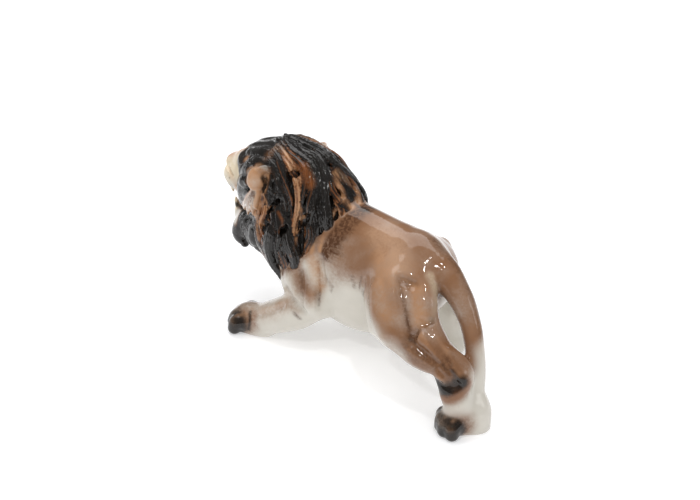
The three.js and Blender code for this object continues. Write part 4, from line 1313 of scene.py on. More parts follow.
@dataclass
class Head:
    """Skull, bridge of the nose, whisker pads, cheeks, dropped jaw, open mouth, tongue and ears.

    What comes in pairs is given for +Y and laid on both sides.
    """
    skull: tuple[Point, Point] = ((-121, 0, 132), (27, 28, 25))
    bridge: Line = ((-134, 0, 136, 18), (-150, 0, 131, 14.5), (-165, 0, 127, 9.5))
    muzzle: tuple[Point, Point, Point] = ((-150, 0, 118), (22, 17, 12), (0, -6, 0))
    jaw: Line = ((-114, 0, 93, 17), (-138, 0, 84, 13.5), (-155, 0, 80, 10))
    chin: tuple[Point, Point] = ((-159, 0, 79), (9, 12, 8.5))
    whisker_pad: tuple[Point, Point, Point] = ((-161, 9, 118), (13, 9.5, 11.5), (0, 10, 0))
    lip: Line = ((-158, 14, 114, 5), (-146, 18, 114, 5), (-136, 22, 108, 6))
    brow: Line = ((-142, 5, 148, 6), (-145, 13, 143.5, 6), (-134, 23, 140, 6))
    cheek: tuple[Point, Point] = ((-128, 22, 121), (15, 10, 15))
    nose: tuple[Point, Point] = ((-171, 0, 127), (6.5, 10, 6))
    brow_groove: Line = ((-146, 0, 150, 2), (-158, 0, 143, 1.6))
    lip_groove: Line = ((-179, 0, 122, 1.4), (-175, 0, 112, 1.4))
    nostril: Line = ((-179, 3.5, 125, 1.6), (-174, 6.5, 127, 1.4))
    nose_fold: Line = ((-170, 12, 128, 1.2), (-158, 16, 122, 1))
    throat: tuple[Point, Point, Point] = ((-157, 0, 98), (28, 14, 9.5), (0, 12, 0))
    gape: tuple[Point, Point, Point] = ((-166, 0, 99), (30, 36, 10), (0, -6, 0))
    tongue: Line = ((-134, 0, 90, 8), (-148, 0, 89, 7.5), (-158, 0, 88, 5))
    tongue_groove: Line = ((-160, 0, 94, 1), (-140, 0, 95.5, 1))
    upper_fang: Line = ((-165, 9.5, 109, 2.6), (-166.5, 9, 103, 2), (-166, 8.6, 98, 0.8))
    lower_fang: Line = ((-161, 8.6, 84, 2.4), (-163, 8.4, 90, 1.8), (-163.5, 8.2, 94, 0.8))
    upper_tooth: Line = ((-169.5, 0, 109, 1.5), (-170, 0, 105.5, 1.1))
    lower_tooth: Line = ((-165.5, 0, 85.5, 1.5), (-166, 0, 89, 1.1))
    front_teeth: int = 4
    front_width: float = 10
    fang_paint_radius: float = 3.2
    tooth_paint_radius: float = 2.2
    eye: Point = (-148, 14, 135.5)
    eye_radius: float = 3.6
    eye_set_back: Point = (0.6, 0, 0)
    socket: tuple[Point, Point, Point] = ((-2, 1, 0), (7, 4.6, 4.2), (0, -25, 0))
    lid_corners: Line = ((-1.5, -5.5, -0.5, 1.2), (3.5, 5, 0.8, 1.2))
    lid_middle: Point = (-2.2, 0, 3.6, 1.5)
    whisker_spot: Point = (-168, 16.6, 115)
    whisker_step: Point = (4, 0.9, 4)
    left_ear: Point = (-107, -35, 147)
    right_ear: Point = (-99, 36, 143)
    ear_radii: Point = (7.5, 10.5, 12)
    ear_turn: float = 14
    ear_hollow: tuple[Point, Point] = ((-7.5, 1.5, 0), (4.5, 7, 8))
    ear_fold: Line = ((1, 4, 9.5, 2.4), (6, -3, 11, 3.2), (12, -9, 8, 2.6))
    ear_crease: Line = ((8, 1, 5, 1.6), (8, -2, -3, 2.2), (6, 1, -10, 1.4))
    middle_paint: Sequence[Stroke] = (
        Stroke(IVORY, ((-178, 0, 122), (-160, 0, 122), (-150, 0, 128)), 19, 5, 0.95),
        Stroke(IVORY, ((-168, 0, 80), (-156, 0, 80)), 11, 3, 0.95),
        Stroke(TAN, ((-146, 0, 152), (-136, 0, 158), (-126, 0, 162)), 7, 5, 0.6),
        Stroke(PINK, ((-170, 0, 134), (-150, 0, 146)), 7, 6, 0.6),
        Stroke(PINK, ((-176, 0, 128),), 7.5, 2, 0.8),
        Stroke(BLACK, ((-178.5, 0, 124), (-176, 0, 112)), 0.8, 1, 0.8),
        Stroke(PINK, ((-160, 0, 90), (-134, 0, 92)), 12, 2.5, 0.9),
        Stroke(PINK, ((-158, 0, 106), (-134, 0, 104)), 10, 2.5, 0.8),
        # Painted shade: umber deep in the throat
        Stroke(UMBER, ((-134, 0, 98),), 11, 5, 0.9),
        # Painted shadow: umber under the left whisker pad, on the left side only
        Stroke(UMBER, ((-171, -7, 116), (-160, -16, 112)), 2, 4, 0.35))
    side_paint: Sequence[Stroke] = (
        Stroke(BLACK, ((-172, 8, 109), (-163, 15, 109), (-152, 18, 109), (-142, 22, 108)), 3.2, 2.4, 0.9),
        Stroke(BLACK, ((-168, 4, 86), (-162, 9, 87), (-152, 12, 89), (-141, 14, 92)), 2.6, 1.4, 0.94),
        Stroke(TAN, ((-151, 13, 84), (-150, 12, 74)), 3, 4, 0.7),
        Stroke(BLACK, ((-177, 5, 125.5),), 1.8, 0.8, 0.9),
        Stroke(BLACK, ((-143, 16, 150), (-135, 10, 158), (-130, 1, 162)), 3.5, 3, 0.85),
        Stroke(BLACK, ((-146, 18, 146), (-138, 27, 138), (-131, 32, 127), (-124, 36, 118)), 6, 2.2, 0.97),
        Stroke(BLACK, ((-141, 24, 136), (-140, 26, 122), (-138, 25, 112), (-134, 24, 98)), 7.5, 1.8, 0.97),
        Stroke(UMBER, ((-166, 17, 112), (-154, 19, 112)), 2, 4, 0.5),
        Stroke(TAN, ((-132, 25, 130), (-130, 24, 112)), 5, 5, 0.6),
        Stroke(TAN, ((-150, 6, 148), (-146, 17, 142), (-147, 23, 128)), 5, 5, 0.8),
        Stroke(TAN, ((-147, 24, 126), (-146, 23, 112)), 3.5, 5, 0.7),
        Stroke(TAN, ((-166, 13, 124), (-158, 17, 120), (-148, 20, 116)), 1, 3, 0.6))
    eye_paint: Sequence[Stroke] = (
        Stroke(BLACK, ((-1.5, -5.5, -0.5), (-4, 1, 0), (3.5, 5, 0.8)), 4.4, 1.4, 0.92),
        Stroke(AMBER, ((-3, 1, 0),), 3, 0.7, 1, True),
        Stroke(BLACK, ((-3.4, 0.6, 0),), 1.3, 0.5),
        Stroke(BLACK, ((-1.5, -5.5, -0.5), (-2.2, 0, 3.8), (3.5, 5, 0.8)), 1.2, 0.9, 0.95))
    ear_paint: Sequence[Stroke] = (
        Stroke(TAN, ((0, 0, 2), (0, 0, -3)), 12, 1.6, 0.95, True),
        Stroke(TAN, ((2, 4, 11), (12, -11, 8)), 3.5, 1.5, 0.9, True),
        # Painted shade: umber in the hollow, on the back and along the foot of the ear, and black in the
        # crease behind it
        Stroke(UMBER, ((-6, 1.5, 0),), 7, 3, 0.8, True),
        Stroke(UMBER, ((4, 9, 2),), 3, 6, 0.35, True),
        Stroke(UMBER, ((-5, 9, -11), (6, 3, -10)), 1.6, 2.4, 0.8, True),
        Stroke(BLACK, ((8, 1, 4), (8, -2, -3), (6, 0, -10)), 2.6, 1.4, 0.95))

    def sculpt(self, clay: Clay) -> None:
        """Models the head.

        Args:
            clay: the clay it is laid on.
        """
        clay.add(Ellipsoid(*self.skull), join=8)
        clay.add(Limb(self.bridge), join=8)
        clay.add(Ellipsoid(*self.muzzle), join=6)
        clay.add(Limb(self.jaw), join=6)
        clay.add(Ellipsoid(*self.chin), join=4)
        for side in SIDES:
            self.sculpt_cheek(clay, side)
            self.sculpt_eye(clay, side)
        self.sculpt_ear(clay, self.left_ear, -1)
        self.sculpt_ear(clay, self.right_ear, 1)
        clay.add(Ellipsoid(*self.nose), join=2)
        clay.carve(Limb(self.brow_groove), join=5)
        clay.carve(Limb(self.lip_groove), join=1.6)
        for side in SIDES:
            clay.carve(Limb(mirrored(self.nostril, side)), join=1)
            clay.carve(Limb(mirrored(self.nose_fold, side)), join=3)
        self.sculpt_mouth(clay)

    def sculpt_cheek(self, clay: Clay, side: int) -> None:
        """Models whisker pad, lip, brow and cheek of one side.

        Args:
            clay: the clay they are laid on.
            side: 1 or -1.
        """
        pad, *pad_form = self.whisker_pad
        clay.add(Ellipsoid(*mirrored([pad], side), *pad_form), join=3)
        clay.add(Limb(mirrored(self.lip, side)), join=5)
        clay.add(Limb(mirrored(self.brow, side)), join=4)
        cheek, radii = self.cheek
        clay.add(Ellipsoid(*mirrored([cheek], side), radii), join=6)

    def sculpt_mouth(self, clay: Clay) -> None:
        """Opens the mouth, and lays the tongue and the teeth in it.

        Args:
            clay: the clay of the head.
        """
        clay.carve(Ellipsoid(*self.throat), join=2.5)
        clay.carve(Ellipsoid(*self.gape), join=3)
        clay.add(Limb(self.tongue, flat=0.5, across=(0, 0, 1)), join=2)
        clay.carve(Limb(self.tongue_groove), join=1.6)
        for line in self.tooth_lines():
            clay.add(Limb(line), join=0.8)

    def tooth_lines(self) -> list[Line]:
        """Finds the four fangs and the two rows of front teeth.

        Returns:
            The stations of each.
        """
        fangs = [mirrored(fang, side) for side in SIDES for fang in (self.upper_fang, self.lower_fang)]
        asides = [(i / (self.front_teeth - 1) - 0.5) * self.front_width for i in range(self.front_teeth)]
        teeth = (self.upper_tooth, self.lower_tooth)
        front = [around((0, aside, 0), tooth) for aside in asides for tooth in teeth]
        return fangs + front

    def sculpt_eye(self, clay: Clay, side: int) -> None:
        """Models an eye in its socket, between two lids.

        Args:
            clay: the clay of the head.
            side: 1 or -1.
        """
        centre, = mirrored([self.eye], side)
        socket, *socket_form = self.socket
        clay.carve(Ellipsoid(*around(centre, [socket], side), *socket_form), join=2.5)
        clay.add(Ellipsoid(*around(centre, [self.eye_set_back]), (self.eye_radius,) * 3), join=0.8)
        inner, outer = self.lid_corners
        ahead, aside, height, radius = self.lid_middle
        for up in (-1, 1):
            lid = (inner, (ahead, aside, height * up, radius), outer)
            clay.add(Limb(around(centre, lid, side)), join=1)

    def sculpt_ear(self, clay: Clay, centre: Point, side: int) -> None:
        """Models a round ear, full behind and hollow in front, with a fold running back from its top.

        Args:
            clay: the clay of the head.
            centre: the middle of the ear.
            side: 1 or -1.
        """
        turn = (0, 0, self.ear_turn * side)
        hollow, hollow_radii = self.ear_hollow
        clay.add(Ellipsoid(centre, self.ear_radii, turn), join=2)
        clay.carve(Ellipsoid(*around(centre, [hollow], side), hollow_radii, turn), join=1.5)
        clay.add(Limb(around(centre, self.ear_fold, side)), join=1.5)
        clay.carve(Limb(around(centre, self.ear_crease, side)), join=1.5)

    def whisker_spots(self) -> list[Stroke]:
        """Lists the spots of a whisker pad.

        Returns:
            Two rows of three, for +Y.
        """
        x, y, z = self.whisker_spot
        dx, dy, dz = self.whisker_step
        spots = [(x + dx * n, y + dy * n, z + dz * row) for row in range(2) for n in range(3)]
        return [Stroke(BLACK, [spot], 0.7, 0.8, 0.8) for spot in spots]

    def strokes(self) -> list[Stroke]:
        """Lists the paint of the face, the lips, the mouth and the ears.

        Returns:
            The middle of the face and the teeth first, then both sides, then the ears.
        """
        result = list(self.middle_paint)
        for line in self.tooth_lines():
            radius = self.fang_paint_radius if len(line) > 2 else self.tooth_paint_radius
            result.append(Stroke(IVORY, [station[:3] for station in line], radius, 0.5, 1, True))
        for side in SIDES:
            centre, = mirrored([self.eye], side)
            result += [stroke.on(side) for stroke in self.side_paint]
            result += [stroke.about(centre, side) for stroke in self.eye_paint]
            result += [stroke.on(side) for stroke in self.whisker_spots()]
        for centre, side in ((self.left_ear, -1), (self.right_ear, 1)):
            result += [stroke.about(centre, side) for stroke in self.ear_paint]
        return result


class PaintBench:
    """Adds nodes to one material, over the object's own space."""

    def __init__(self, material: bpy.types.Material) -> None:
        """Opens the node tree of a material.

        Args:
            material: the material.
        """
        material.use_nodes = True
        self.nodes, self.links = material.node_tree.nodes, material.node_tree.links
        self.shader = self.nodes["Principled BSDF"]
        self.place = self.nodes.new("ShaderNodeTexCoord").outputs["Object"]

    def feed(self, socket: Socket, value: object) -> None:
        """Feeds a socket.

        Args:
            socket: the socket.
            value: another socket, which is linked to it, or its value.
        """
        if isinstance(value, Socket):
            self.links.new(value, socket)
        else:
            socket.default_value = value

    def noise(self, scale: float, detail: float, distortion: float = 0.0) -> Socket:
        """Adds a noise texture.

        Args:
            scale: its scale.
            detail: its octaves.
            distortion: how far it is bent.

        Returns:
            Its value.
        """
        node = self.nodes.new("ShaderNodeTexNoise")
        inputs = {"Scale": scale, "Detail": detail, "Distortion": distortion, "Vector": self.place}
        for name, value in inputs.items():
            self.feed(node.inputs[name], value)
        return node.outputs["Fac"]

    def maths(self, operation: str, *values: object) -> Socket:
        """Adds a maths node.

        Args:
            operation: what it does.
            values: its sockets or numbers.

        Returns:
            Its result.
        """
        node = self.nodes.new("ShaderNodeMath")
        node.operation = operation
        for socket, value in zip(node.inputs, values):
            self.feed(socket, value)
        return node.outputs[0]

    def mix(self, kind: str, share: Socket, a: object, b: object) -> Socket:
        """Adds a mix of two colours or numbers.

        Args:
            kind: RGBA or FLOAT.
            share: how much of b there is.
            a: a socket or a value.
            b: a socket or a value.

        Returns:
            Its result.
        """
        node = self.nodes.new("ShaderNodeMix")
        node.data_type = kind
        for name, value in (("Factor", share), ("A", a), ("B", b)):
            self.feed(node.inputs[name], value)
        return node.outputs["Result"]

    def attribute(self, name: str) -> Socket:
        """Reads a painted attribute of the mesh.

        Args:
            name: the attribute.

        Returns:
            Its value.
        """
        node = self.nodes.new("ShaderNodeAttribute")
        node.attribute_name = name
        return node.outputs["Fac"]


@dataclass(frozen=True)
class Glaze:
    """The paints and the clear glaze over them.

    A noise is its scale, its octaves and, where it is bent, its distortion. brown_blotches and
    umber_specks are the gain and the lift that turn a noise into the cover of a thin paint.
    """
    bisque: Point = (0.63, 0.595, 0.53)
    shaded_bisque: Point = (0.9, 0.9, 0.88)
    brown: Point = (0.225, 0.11, 0.055)
    umber: Point = (0.08, 0.033, 0.014)
    tan: Point = (0.44, 0.235, 0.12)
    amber: Point = (0.17, 0.052, 0.012)
    pink: Point = (0.50, 0.24, 0.17)
    black: Point = (0.009, 0.007, 0.0055)
    ivory: Point = (0.75, 0.64, 0.47)
    roughness: float = 0.06
    ior: float = 1.46
    edge_break: float = 0.5
    ripple_strength: float = 0.12
    ripple_height: float = 0.001
    hair_lines: float = 2.6
    hair_waver: float = 3.0
    hair_height: float = 0.00011
    cloud_noise: Sequence[float] = (90, 4)
    streak_noise: Sequence[float] = (420, 3, 0.6)
    blotch_noise: Sequence[float] = (26, 3, 0.4)
    speck_noise: Sequence[float] = (300, 2, 0.8)
    brown_blotches: Sequence[float] = (0.7, 0.62)
    umber_specks: Sequence[float] = (2.6, -0.45)
    fine_ripple_noise: Sequence[float] = (700, 2)
    broad_ripple_noise: Sequence[float] = (160, 2)
    fine_ripple_share: float = 0.25
    waver_noise: Sequence[float] = (220, 3)

    def colour(self, pigment: Pigment) -> tuple[float, float, float, float]:
        """Gives the linear colour of a paint."""
        name = "bisque" if pigment is CREAM else pigment.value
        return (*getattr(self, name), 1)

    def painted(self, bench: PaintBench) -> Socket:
        """Lays the paints on the bisque by their attributes, broken up by noise.

        Args:
            bench: where the nodes are added.

        Returns:
            The colour.
        """
        noises = (self.cloud_noise, self.streak_noise, self.blotch_noise, self.speck_noise)
        cloudy, streaky, blotchy, speckled = [bench.noise(*noise) for noise in noises]
        thin = {
            BROWN: bench.maths("MULTIPLY_ADD", blotchy, *self.brown_blotches),
            UMBER: bench.maths("MULTIPLY_ADD", speckled, *self.umber_specks)}
        shaded = (*(c * share for c, share in zip(self.bisque, self.shaded_bisque)), 1)
        colour = bench.mix("RGBA", cloudy, self.colour(CREAM), shaded)
        uneven = bench.maths("SUBTRACT", bench.maths("ADD", cloudy, streaky), 1.0)
        for pigment in Pigment:
            cover = bench.attribute(pigment.value)
            if pigment in thin:
                cover = bench.maths("MULTIPLY", cover, bench.maths("MINIMUM", thin[pigment], 1.0))
            broken = bench.maths("MULTIPLY_ADD", uneven, self.edge_break, cover)
            # The edge is 1 where the paint covers half, and 0 where it covers all or nothing.
            bare = bench.maths("SUBTRACT", 1.0, cover)
            edge = bench.maths("MULTIPLY", bench.maths("MULTIPLY", cover, bare), 4.0)
            share = bench.mix("FLOAT", edge, cover, broken)
            colour = bench.mix("RGBA", share, colour, self.colour(pigment))
        return colour

    def relief(self, bench: PaintBench) -> Socket:
        """Gives the glaze a faint ripple, and the mane its finest hair lines.

        Args:
            bench: where the nodes are added.

        Returns:
            The bent normal.
        """
        fine, broad = bench.noise(*self.fine_ripple_noise), bench.noise(*self.broad_ripple_noise)
        ripple = bench.maths("MULTIPLY_ADD", fine, self.fine_ripple_share, broad)
        across = bench.attribute("hair_across")
        waver = bench.maths("MULTIPLY_ADD", bench.noise(*self.waver_noise), self.hair_waver, across)
        strand = bench.maths("SINE", bench.maths("MULTIPLY", waver, self.hair_lines))
        hairs = bench.maths("MULTIPLY", strand, bench.attribute("hair_cover"))
        reliefs = ((ripple, self.ripple_strength, self.ripple_height), (hairs, 1.0, self.hair_height))
        normal = None
        for height, strength, rise in reliefs:
            bump = bench.nodes.new("ShaderNodeBump")
            for name, value in (("Strength", strength), ("Distance", rise), ("Height", height)):
                bench.feed(bump.inputs[name], value)
            if normal:
                bench.feed(bump.inputs["Normal"], normal)
            normal = bump.outputs["Normal"]
        return normal

    def build(self) -> bpy.types.Material:
        """Builds the glazed material.

        Returns:
            The material.
        """
        material = bpy.data.materials.new("glazed_porcelain")
        bench = PaintBench(material)
        shader = bench.shader
        bench.feed(shader.inputs["Base Color"], self.painted(bench))
        bench.feed(shader.inputs["Normal"], self.relief(bench))
        shader.inputs["Roughness"].default_value = self.roughness
        shader.inputs["IOR"].default_value = self.ior
        shader.inputs["Subsurface Weight"].default_value = 0.0
        return material


@dataclass
class Lion:
    """The whole casting."""
    cell: float = 1.2
    low: Point = (-200, -84, -6)
    high: Point = (168, 84, 192)
    most_triangles: int = 190_000
    trunk: Trunk = field(default_factory=Trunk)
    fore_legs: ForeLegs = field(default_factory=ForeLegs)
    hind_legs: HindLegs = field(default_factory=HindLegs)
    tail: Tail = field(default_factory=Tail)
    muscles: Muscles = field(default_factory=Muscles)
    mane: Mane = field(default_factory=Mane)
    head: Head = field(default_factory=Head)
    glaze: Glaze = field(default_factory=Glaze)
    clay: Optional[Clay] = None

    HAIR_LINES = 1.3
    HAIR_DEPTH = 0.45
    HAIR_WAVER = 1.5
    HAIR_SWAY = (7, 0.3)
    HAIR_FADE = (0.2, 1.2)
    HAIR_EDGE = (0.4, 1.4)
    RELIEF_REACH = 7
    # Painted shade and painted highlight: relief spans and shares of umber in folds and of tan on ridges
    SHADED_FOLDS = (-0.1, -1.5)
    FOLD_SHADE_UMBER = 0.85
    LIT_RIDGES = (0.3, 1.6)
    RIDGE_HIGHLIGHT_TAN = 0.5
    STREAKS = 1.9
    STREAK_WAVER = 2.0
    STREAK_SWAY = (9, 0.2)
    STREAK_LIGHT = (0.7, 0.6)
    # Painted shade of the mane: relief span and share by which hair in a fold is darker
    HAIR_SHADED_FOLDS = (0.1, -1.4)
    HAIR_FOLD_SHADE = 0.5
    AMBER_TONES = (0.45, 0.8)
    AMBER_SHARE = 0.92
    BLACK_TONES = (0.28, 0.52)
    BUMP_TONES = (0.2, 0.6)
    BUMP_LEAST = 0.5
    BUMP_WAVER = 0.8
    FACE_AXIS = 123
    FACE_BACK = (-120, -128)
    FACE_RIM = (29, 25)
    FACE_FLOOR = (84, 92)
    JAW_BACK = (-147, -152)
    JAW_FLOOR = (73, 77)
    FRONT_HAIR_END = -95
    FRONT_HAIR_REACH = 3.2

    def sculpt(self) -> bpy.types.Object:
        """Models the clay and meshes its skin.

        Returns:
            The lion, in millimetres.
        """
        clay = self.clay = Clay(self.low, self.high, self.cell)
        body = (self.trunk, self.hind_legs, self.tail, self.fore_legs, self.muscles)
        for part in (*body, self.mane, self.head):
            part.sculpt(clay)
        clay.grind_flat()
        points, faces = Skin(clay).mesh()
        mesh = bpy.data.meshes.new("lion")
        mesh.from_pydata(points.tolist(), [], faces.tolist())
        piece = bpy.data.objects.new("lion_glazed", mesh)
        bpy.context.scene.collection.objects.link(piece)
        self.keep_largest(piece)
        self.thin(piece)
        return piece

    @staticmethod
    def keep_largest(piece: bpy.types.Object) -> None:
        """Drops every island of faces but the largest.

        Args:
            piece: the lion.
        """
        bm = bmesh.new()
        bm.from_mesh(piece.data)
        seen, islands = set(), []
        for start in bm.verts:
            if start.index in seen:
                continue
            seen.add(start.index)
            island, queue = [], [start]
            while queue:
                vert = queue.pop()
                island.append(vert)
                for edge in vert.link_edges:
                    other = edge.other_vert(vert)
                    if other.index not in seen:
                        seen.add(other.index)
                        queue.append(other)
            islands.append(island)
        islands.sort(key=len)
        stray = [vert for island in islands[:-1] for vert in island]
        bmesh.ops.delete(bm, geom=stray, context="VERTS")
        bmesh.ops.triangulate(bm, faces=bm.faces[:])
        bm.to_mesh(piece.data)
        bm.free()

    def thin(self, piece: bpy.types.Object) -> None:
        """Collapses edges until the mesh is light enough, then shades it smooth.

        Args:
            piece: the lion.
        """
        count = len(piece.data.polygons)
        if count > self.most_triangles:
            modifier = piece.modifiers.new("thin", "DECIMATE")
            modifier.ratio = self.most_triangles / count
            graph = bpy.context.evaluated_depsgraph_get()
            piece.data = bpy.data.meshes.new_from_object(piece.evaluated_get(graph))
            piece.modifiers.clear()
        piece.data.shade_smooth()

    @staticmethod
    def points_of(mesh: bpy.types.Mesh, name: str = "co") -> Array:
        """Reads the places of a mesh's vertices, or their normals.

        Args:
            mesh: the mesh.
            name: co for places, normal for normals.

        Returns:
            One row for each vertex.
        """
        values = np.empty(len(mesh.vertices) * 3)
        mesh.vertices.foreach_get(name, values)
        return values.reshape(-1, 3)

    @staticmethod
    def sway(across: Array, along: Array, turns: float, drift: float) -> Array:
        """Swings from side to side along a lock, and drifts from one hair line to the next."""
        return np.sin(along * turns + across * drift)

    def comb_hair(self, piece: bpy.types.Object) -> tuple[Array, Array, Array, Array]:
        """Scores the fine lines of combed hair into the skin of the mane.

        Args:
            piece: the lion, whose vertices are moved.

        Returns:
            What Mane.comb tells of each vertex.
        """
        mesh = piece.data
        points, out = self.points_of(mesh), self.points_of(mesh, "normal")
        combed = self.mane.comb(points)
        gap, _, across, along = combed
        sway = self.sway(across, along, *self.HAIR_SWAY)
        line = np.sin(across * self.HAIR_LINES + self.HAIR_WAVER * sway)
        points += out * (line * self.HAIR_DEPTH * (1 - smooth_step(*self.HAIR_FADE, gap)))[:, None]
        mesh.vertices.foreach_set("co", points.ravel())
        mesh.update()
        return combed

    def hair_share(self, points: Array, gap: Array) -> Array:
        """Tells where the skin is hair and not face.

        Args:
            points: the vertices.
            gap: their distance to the hair.

        Returns:
            1 on hair, 0 off it.
        """
        x, y, z = points.T
        aside = np.hypot(y, z - self.FACE_AXIS)
        face = smooth_step(*self.FACE_BACK, x) * smooth_step(*self.FACE_RIM, aside)
        face *= smooth_step(*self.FACE_FLOOR, z)
        jaw = smooth_step(*self.JAW_BACK, x) * smooth_step(*self.JAW_FLOOR, z)
        reach = np.where(x < self.FRONT_HAIR_END, self.FRONT_HAIR_REACH, 1.0)
        return (1 - smooth_step(*self.HAIR_EDGE, gap / reach)) * (1 - np.maximum(face, jaw))

    def paint(self, piece: bpy.types.Object, combed: tuple[Array, Array, Array, Array]) -> None:
        """Writes each paint's cover to the mesh as an attribute.

        Args:
            piece: the lion.
            combed: what Mane.comb tells of each vertex.
        """
        points = self.points_of(piece.data)
        cover = {pigment: np.zeros(len(points)) for pigment in Pigment}

        def at_least(pigment: Pigment, share: Array) -> None:
            """Raises a paint to a share where it is thinner."""
            cover[pigment] = np.maximum(cover[pigment], share)

        for part in (self.trunk, self.tail, self.hind_legs, self.fore_legs, self.muscles):
            for stroke in part.strokes():
                stroke.lay(points, cover)
        relief = self.clay.relief_at(points, self.RELIEF_REACH)
        sprayed = np.maximum(cover[BROWN], cover[TAN])
        # Painted shade and painted highlight: umber where the sprayed skin lies in a fold, tan where it
        # stands on a ridge
        at_least(UMBER, sprayed * smooth_step(*self.SHADED_FOLDS, relief) * self.FOLD_SHADE_UMBER)
        at_least(TAN, sprayed * smooth_step(*self.LIT_RIDGES, relief) * self.RIDGE_HIGHLIGHT_TAN)
        gap, tone, across, along = combed
        hair = self.hair_share(points, gap)
        sway = self.sway(across, along, *self.STREAK_SWAY)
        streak = 0.5 + 0.5 * np.sin(across * self.STREAKS + self.STREAK_WAVER * sway)
        plain, streaked = self.STREAK_LIGHT
        # Painted shade: the hair is painted darker where it lies in a fold
        fold_shade = smooth_step(*self.HAIR_SHADED_FOLDS, relief) * self.HAIR_FOLD_SHADE
        light = np.clip(tone * (plain + streaked * streak) - fold_shade, 0, 1)
        for pigment in (BROWN, UMBER, CREAM, IVORY):
            cover[pigment] *= 1 - hair
        at_least(TAN, hair)
        at_least(AMBER, hair * (1 - smooth_step(*self.AMBER_TONES, light)) * self.AMBER_SHARE)
        at_least(BLACK, hair * (1 - smooth_step(*self.BLACK_TONES, light)))
        for stroke in self.head.strokes() + self.mane.strokes():
            stroke.lay(points, cover)
        layers = {pigment.value: np.clip(share, 0, 1) for pigment, share in cover.items()}
        dark = np.maximum(cover[BLACK], hair * self.BUMP_LEAST)
        layers["hair_cover"] = hair * smooth_step(*self.BUMP_TONES, dark)
        layers["hair_across"] = across + self.BUMP_WAVER * sway
        for name, values in layers.items():
            layer = piece.data.attributes.new(name, "FLOAT", "POINT")
            layer.data.foreach_set("value", values.astype(np.float32))

    def settle(self, piece: bpy.types.Object) -> None:
        """Moves the mesh into the row frame, in metres, inside the solid's box.

        Args:
            piece: the lion.
        """
        low, high = (np.array(corner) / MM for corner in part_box("lion"))
        points = self.points_of(piece.data)
        points += (low + high) / 2 - (points.min(0) + points.max(0)) / 2
        points = np.clip(points, low, high)
        piece.data.vertices.foreach_set("co", (points * MM).ravel())
        piece.data.update()

    def build(self) -> bpy.types.Object:
        """Sculpts, paints and glazes the lion, and puts it in the place of the solid.

        Returns:
            The lion.
        """
        piece = self.sculpt()
        self.paint(piece, self.comb_hair(piece))
        self.settle(piece)
        piece.data.materials.append(self.glaze.build())
        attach(piece, "root")
        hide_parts("lion")
        return piece


@dataclass(frozen=True)
class Lamp:
    """A square soft light: where it hangs and its side, in metres, and its power in watts."""
    name: str
    place: Point
    size: float
    watts: float
    mirrored: bool = True


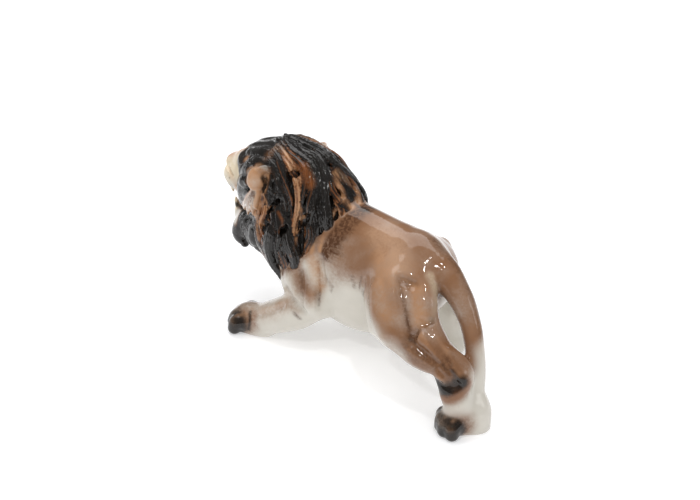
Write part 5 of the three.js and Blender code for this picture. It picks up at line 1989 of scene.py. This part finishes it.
@dataclass
class Studio:
    """Plain pale floor, soft light and the camera."""
    target: Point = (-15.85, 2.64, 89.9)
    eye: Point = (825.92, -932.24, 906.86)
    focal_mm: float = 88.67
    sensor_mm: float = 36
    clip_start: float = 0.05
    floor_size: float = 6.0
    floor_roughness: float = 0.6
    floor_colour: Point = (0.80, 0.80, 0.81)
    floor_glow: float = 0.36
    sky_strength: float = 0.26
    lamp_aim: Point = (0, 0, 0.08)
    lamps: Sequence[Lamp] = (
        Lamp("key", (-0.6, -1.0, 1.2), 0.8, 5.2, False),
        Lamp("fill", (1.2, -0.7, 0.9), 0.8, 4.2, False),
        Lamp("dome", (0.1, -0.1, 1.5), 1.6, 2.4, False),
        Lamp("softbox", (-0.48, 0.42, 1.26), 1.3, 13),
        Lamp("rear", (1.3, 0.5, 0.7), 0.4, 1.2),
        Lamp("spark", (0.35, -0.9, 1.3), 0.07, 3),
        Lamp("glint", (0.5, -0.3, 1.5), 0.07, 3))

    def lay_floor(self) -> bpy.types.Object:
        """Lays the floor under the feet.

        Returns:
            The floor, which is stage and no part of the lion.
        """
        mesh = bpy.data.meshes.new("floor")
        h = self.floor_size / 2
        mesh.from_pydata([(-h, -h, 0), (h, -h, 0), (h, h, 0), (-h, h, 0)], [], [(0, 1, 2, 3)])
        floor = bpy.data.objects.new("floor", mesh)
        bpy.context.scene.collection.objects.link(floor)
        material = bpy.data.materials.new("pale_floor")
        material.use_nodes = True
        shader = material.node_tree.nodes["Principled BSDF"]
        shader.inputs["Base Color"].default_value = (*self.floor_colour, 1)
        shader.inputs["Roughness"].default_value = self.floor_roughness
        shader.inputs["Specular IOR Level"].default_value = 0.0
        shader.inputs["Emission Color"].default_value = (1, 1, 1, 1)
        shader.inputs["Emission Strength"].default_value = self.floor_glow
        mesh.materials.append(material)
        return floor

    def hang(self, lamp: Lamp) -> None:
        """Hangs a light, facing the lion.

        Args:
            lamp: the light.
        """
        data = bpy.data.lights.new(lamp.name, "AREA")
        data.size = lamp.size
        data.energy = lamp.watts
        light = bpy.data.objects.new(lamp.name, data)
        light.visible_glossy = lamp.mirrored
        light.location = lamp.place
        aim = Vector(self.lamp_aim) - Vector(lamp.place)
        light.rotation_euler = aim.to_track_quat("-Z", "Y").to_euler()
        bpy.context.scene.collection.objects.link(light)

    def set_camera(self) -> None:
        """Sets the camera at the photograph's angle."""
        data = bpy.data.cameras.new("camera")
        data.lens = self.focal_mm
        data.sensor_width = self.sensor_mm
        data.clip_start = self.clip_start
        camera = bpy.data.objects.new("camera", data)
        camera.location = Vector(self.eye) * MM
        aim = Vector(self.target) * MM - camera.location
        camera.rotation_euler = aim.to_track_quat("-Z", "Y").to_euler()
        bpy.context.scene.collection.objects.link(camera)
        bpy.context.scene.camera = camera

    def build(self) -> None:
        """Builds the floor, the lights, the sky and the camera."""
        self.lay_floor()
        for lamp in self.lamps:
            self.hang(lamp)
        world = bpy.data.worlds.new("studio")
        world.use_nodes = True
        sky = world.node_tree.nodes["Background"]
        sky.inputs["Color"].default_value = (1, 1, 1, 1)
        sky.inputs["Strength"].default_value = self.sky_strength
        bpy.context.scene.world = world
        bpy.context.scene.view_settings.view_transform = "Standard"
        self.set_camera()


def main() -> None:
    """Builds the lion and the studio, and reports each piece."""
    logging.basicConfig(level=logging.INFO, format="%(message)s")
    piece = Lion().build()
    LOG.info("lion: %d triangles, box %s", len(piece.data.polygons), [round(d, 4) for d in piece.dimensions])
    Studio().build()
    LOG.info("studio: floor, lights and camera")


if __name__ == "__main__":
    main()
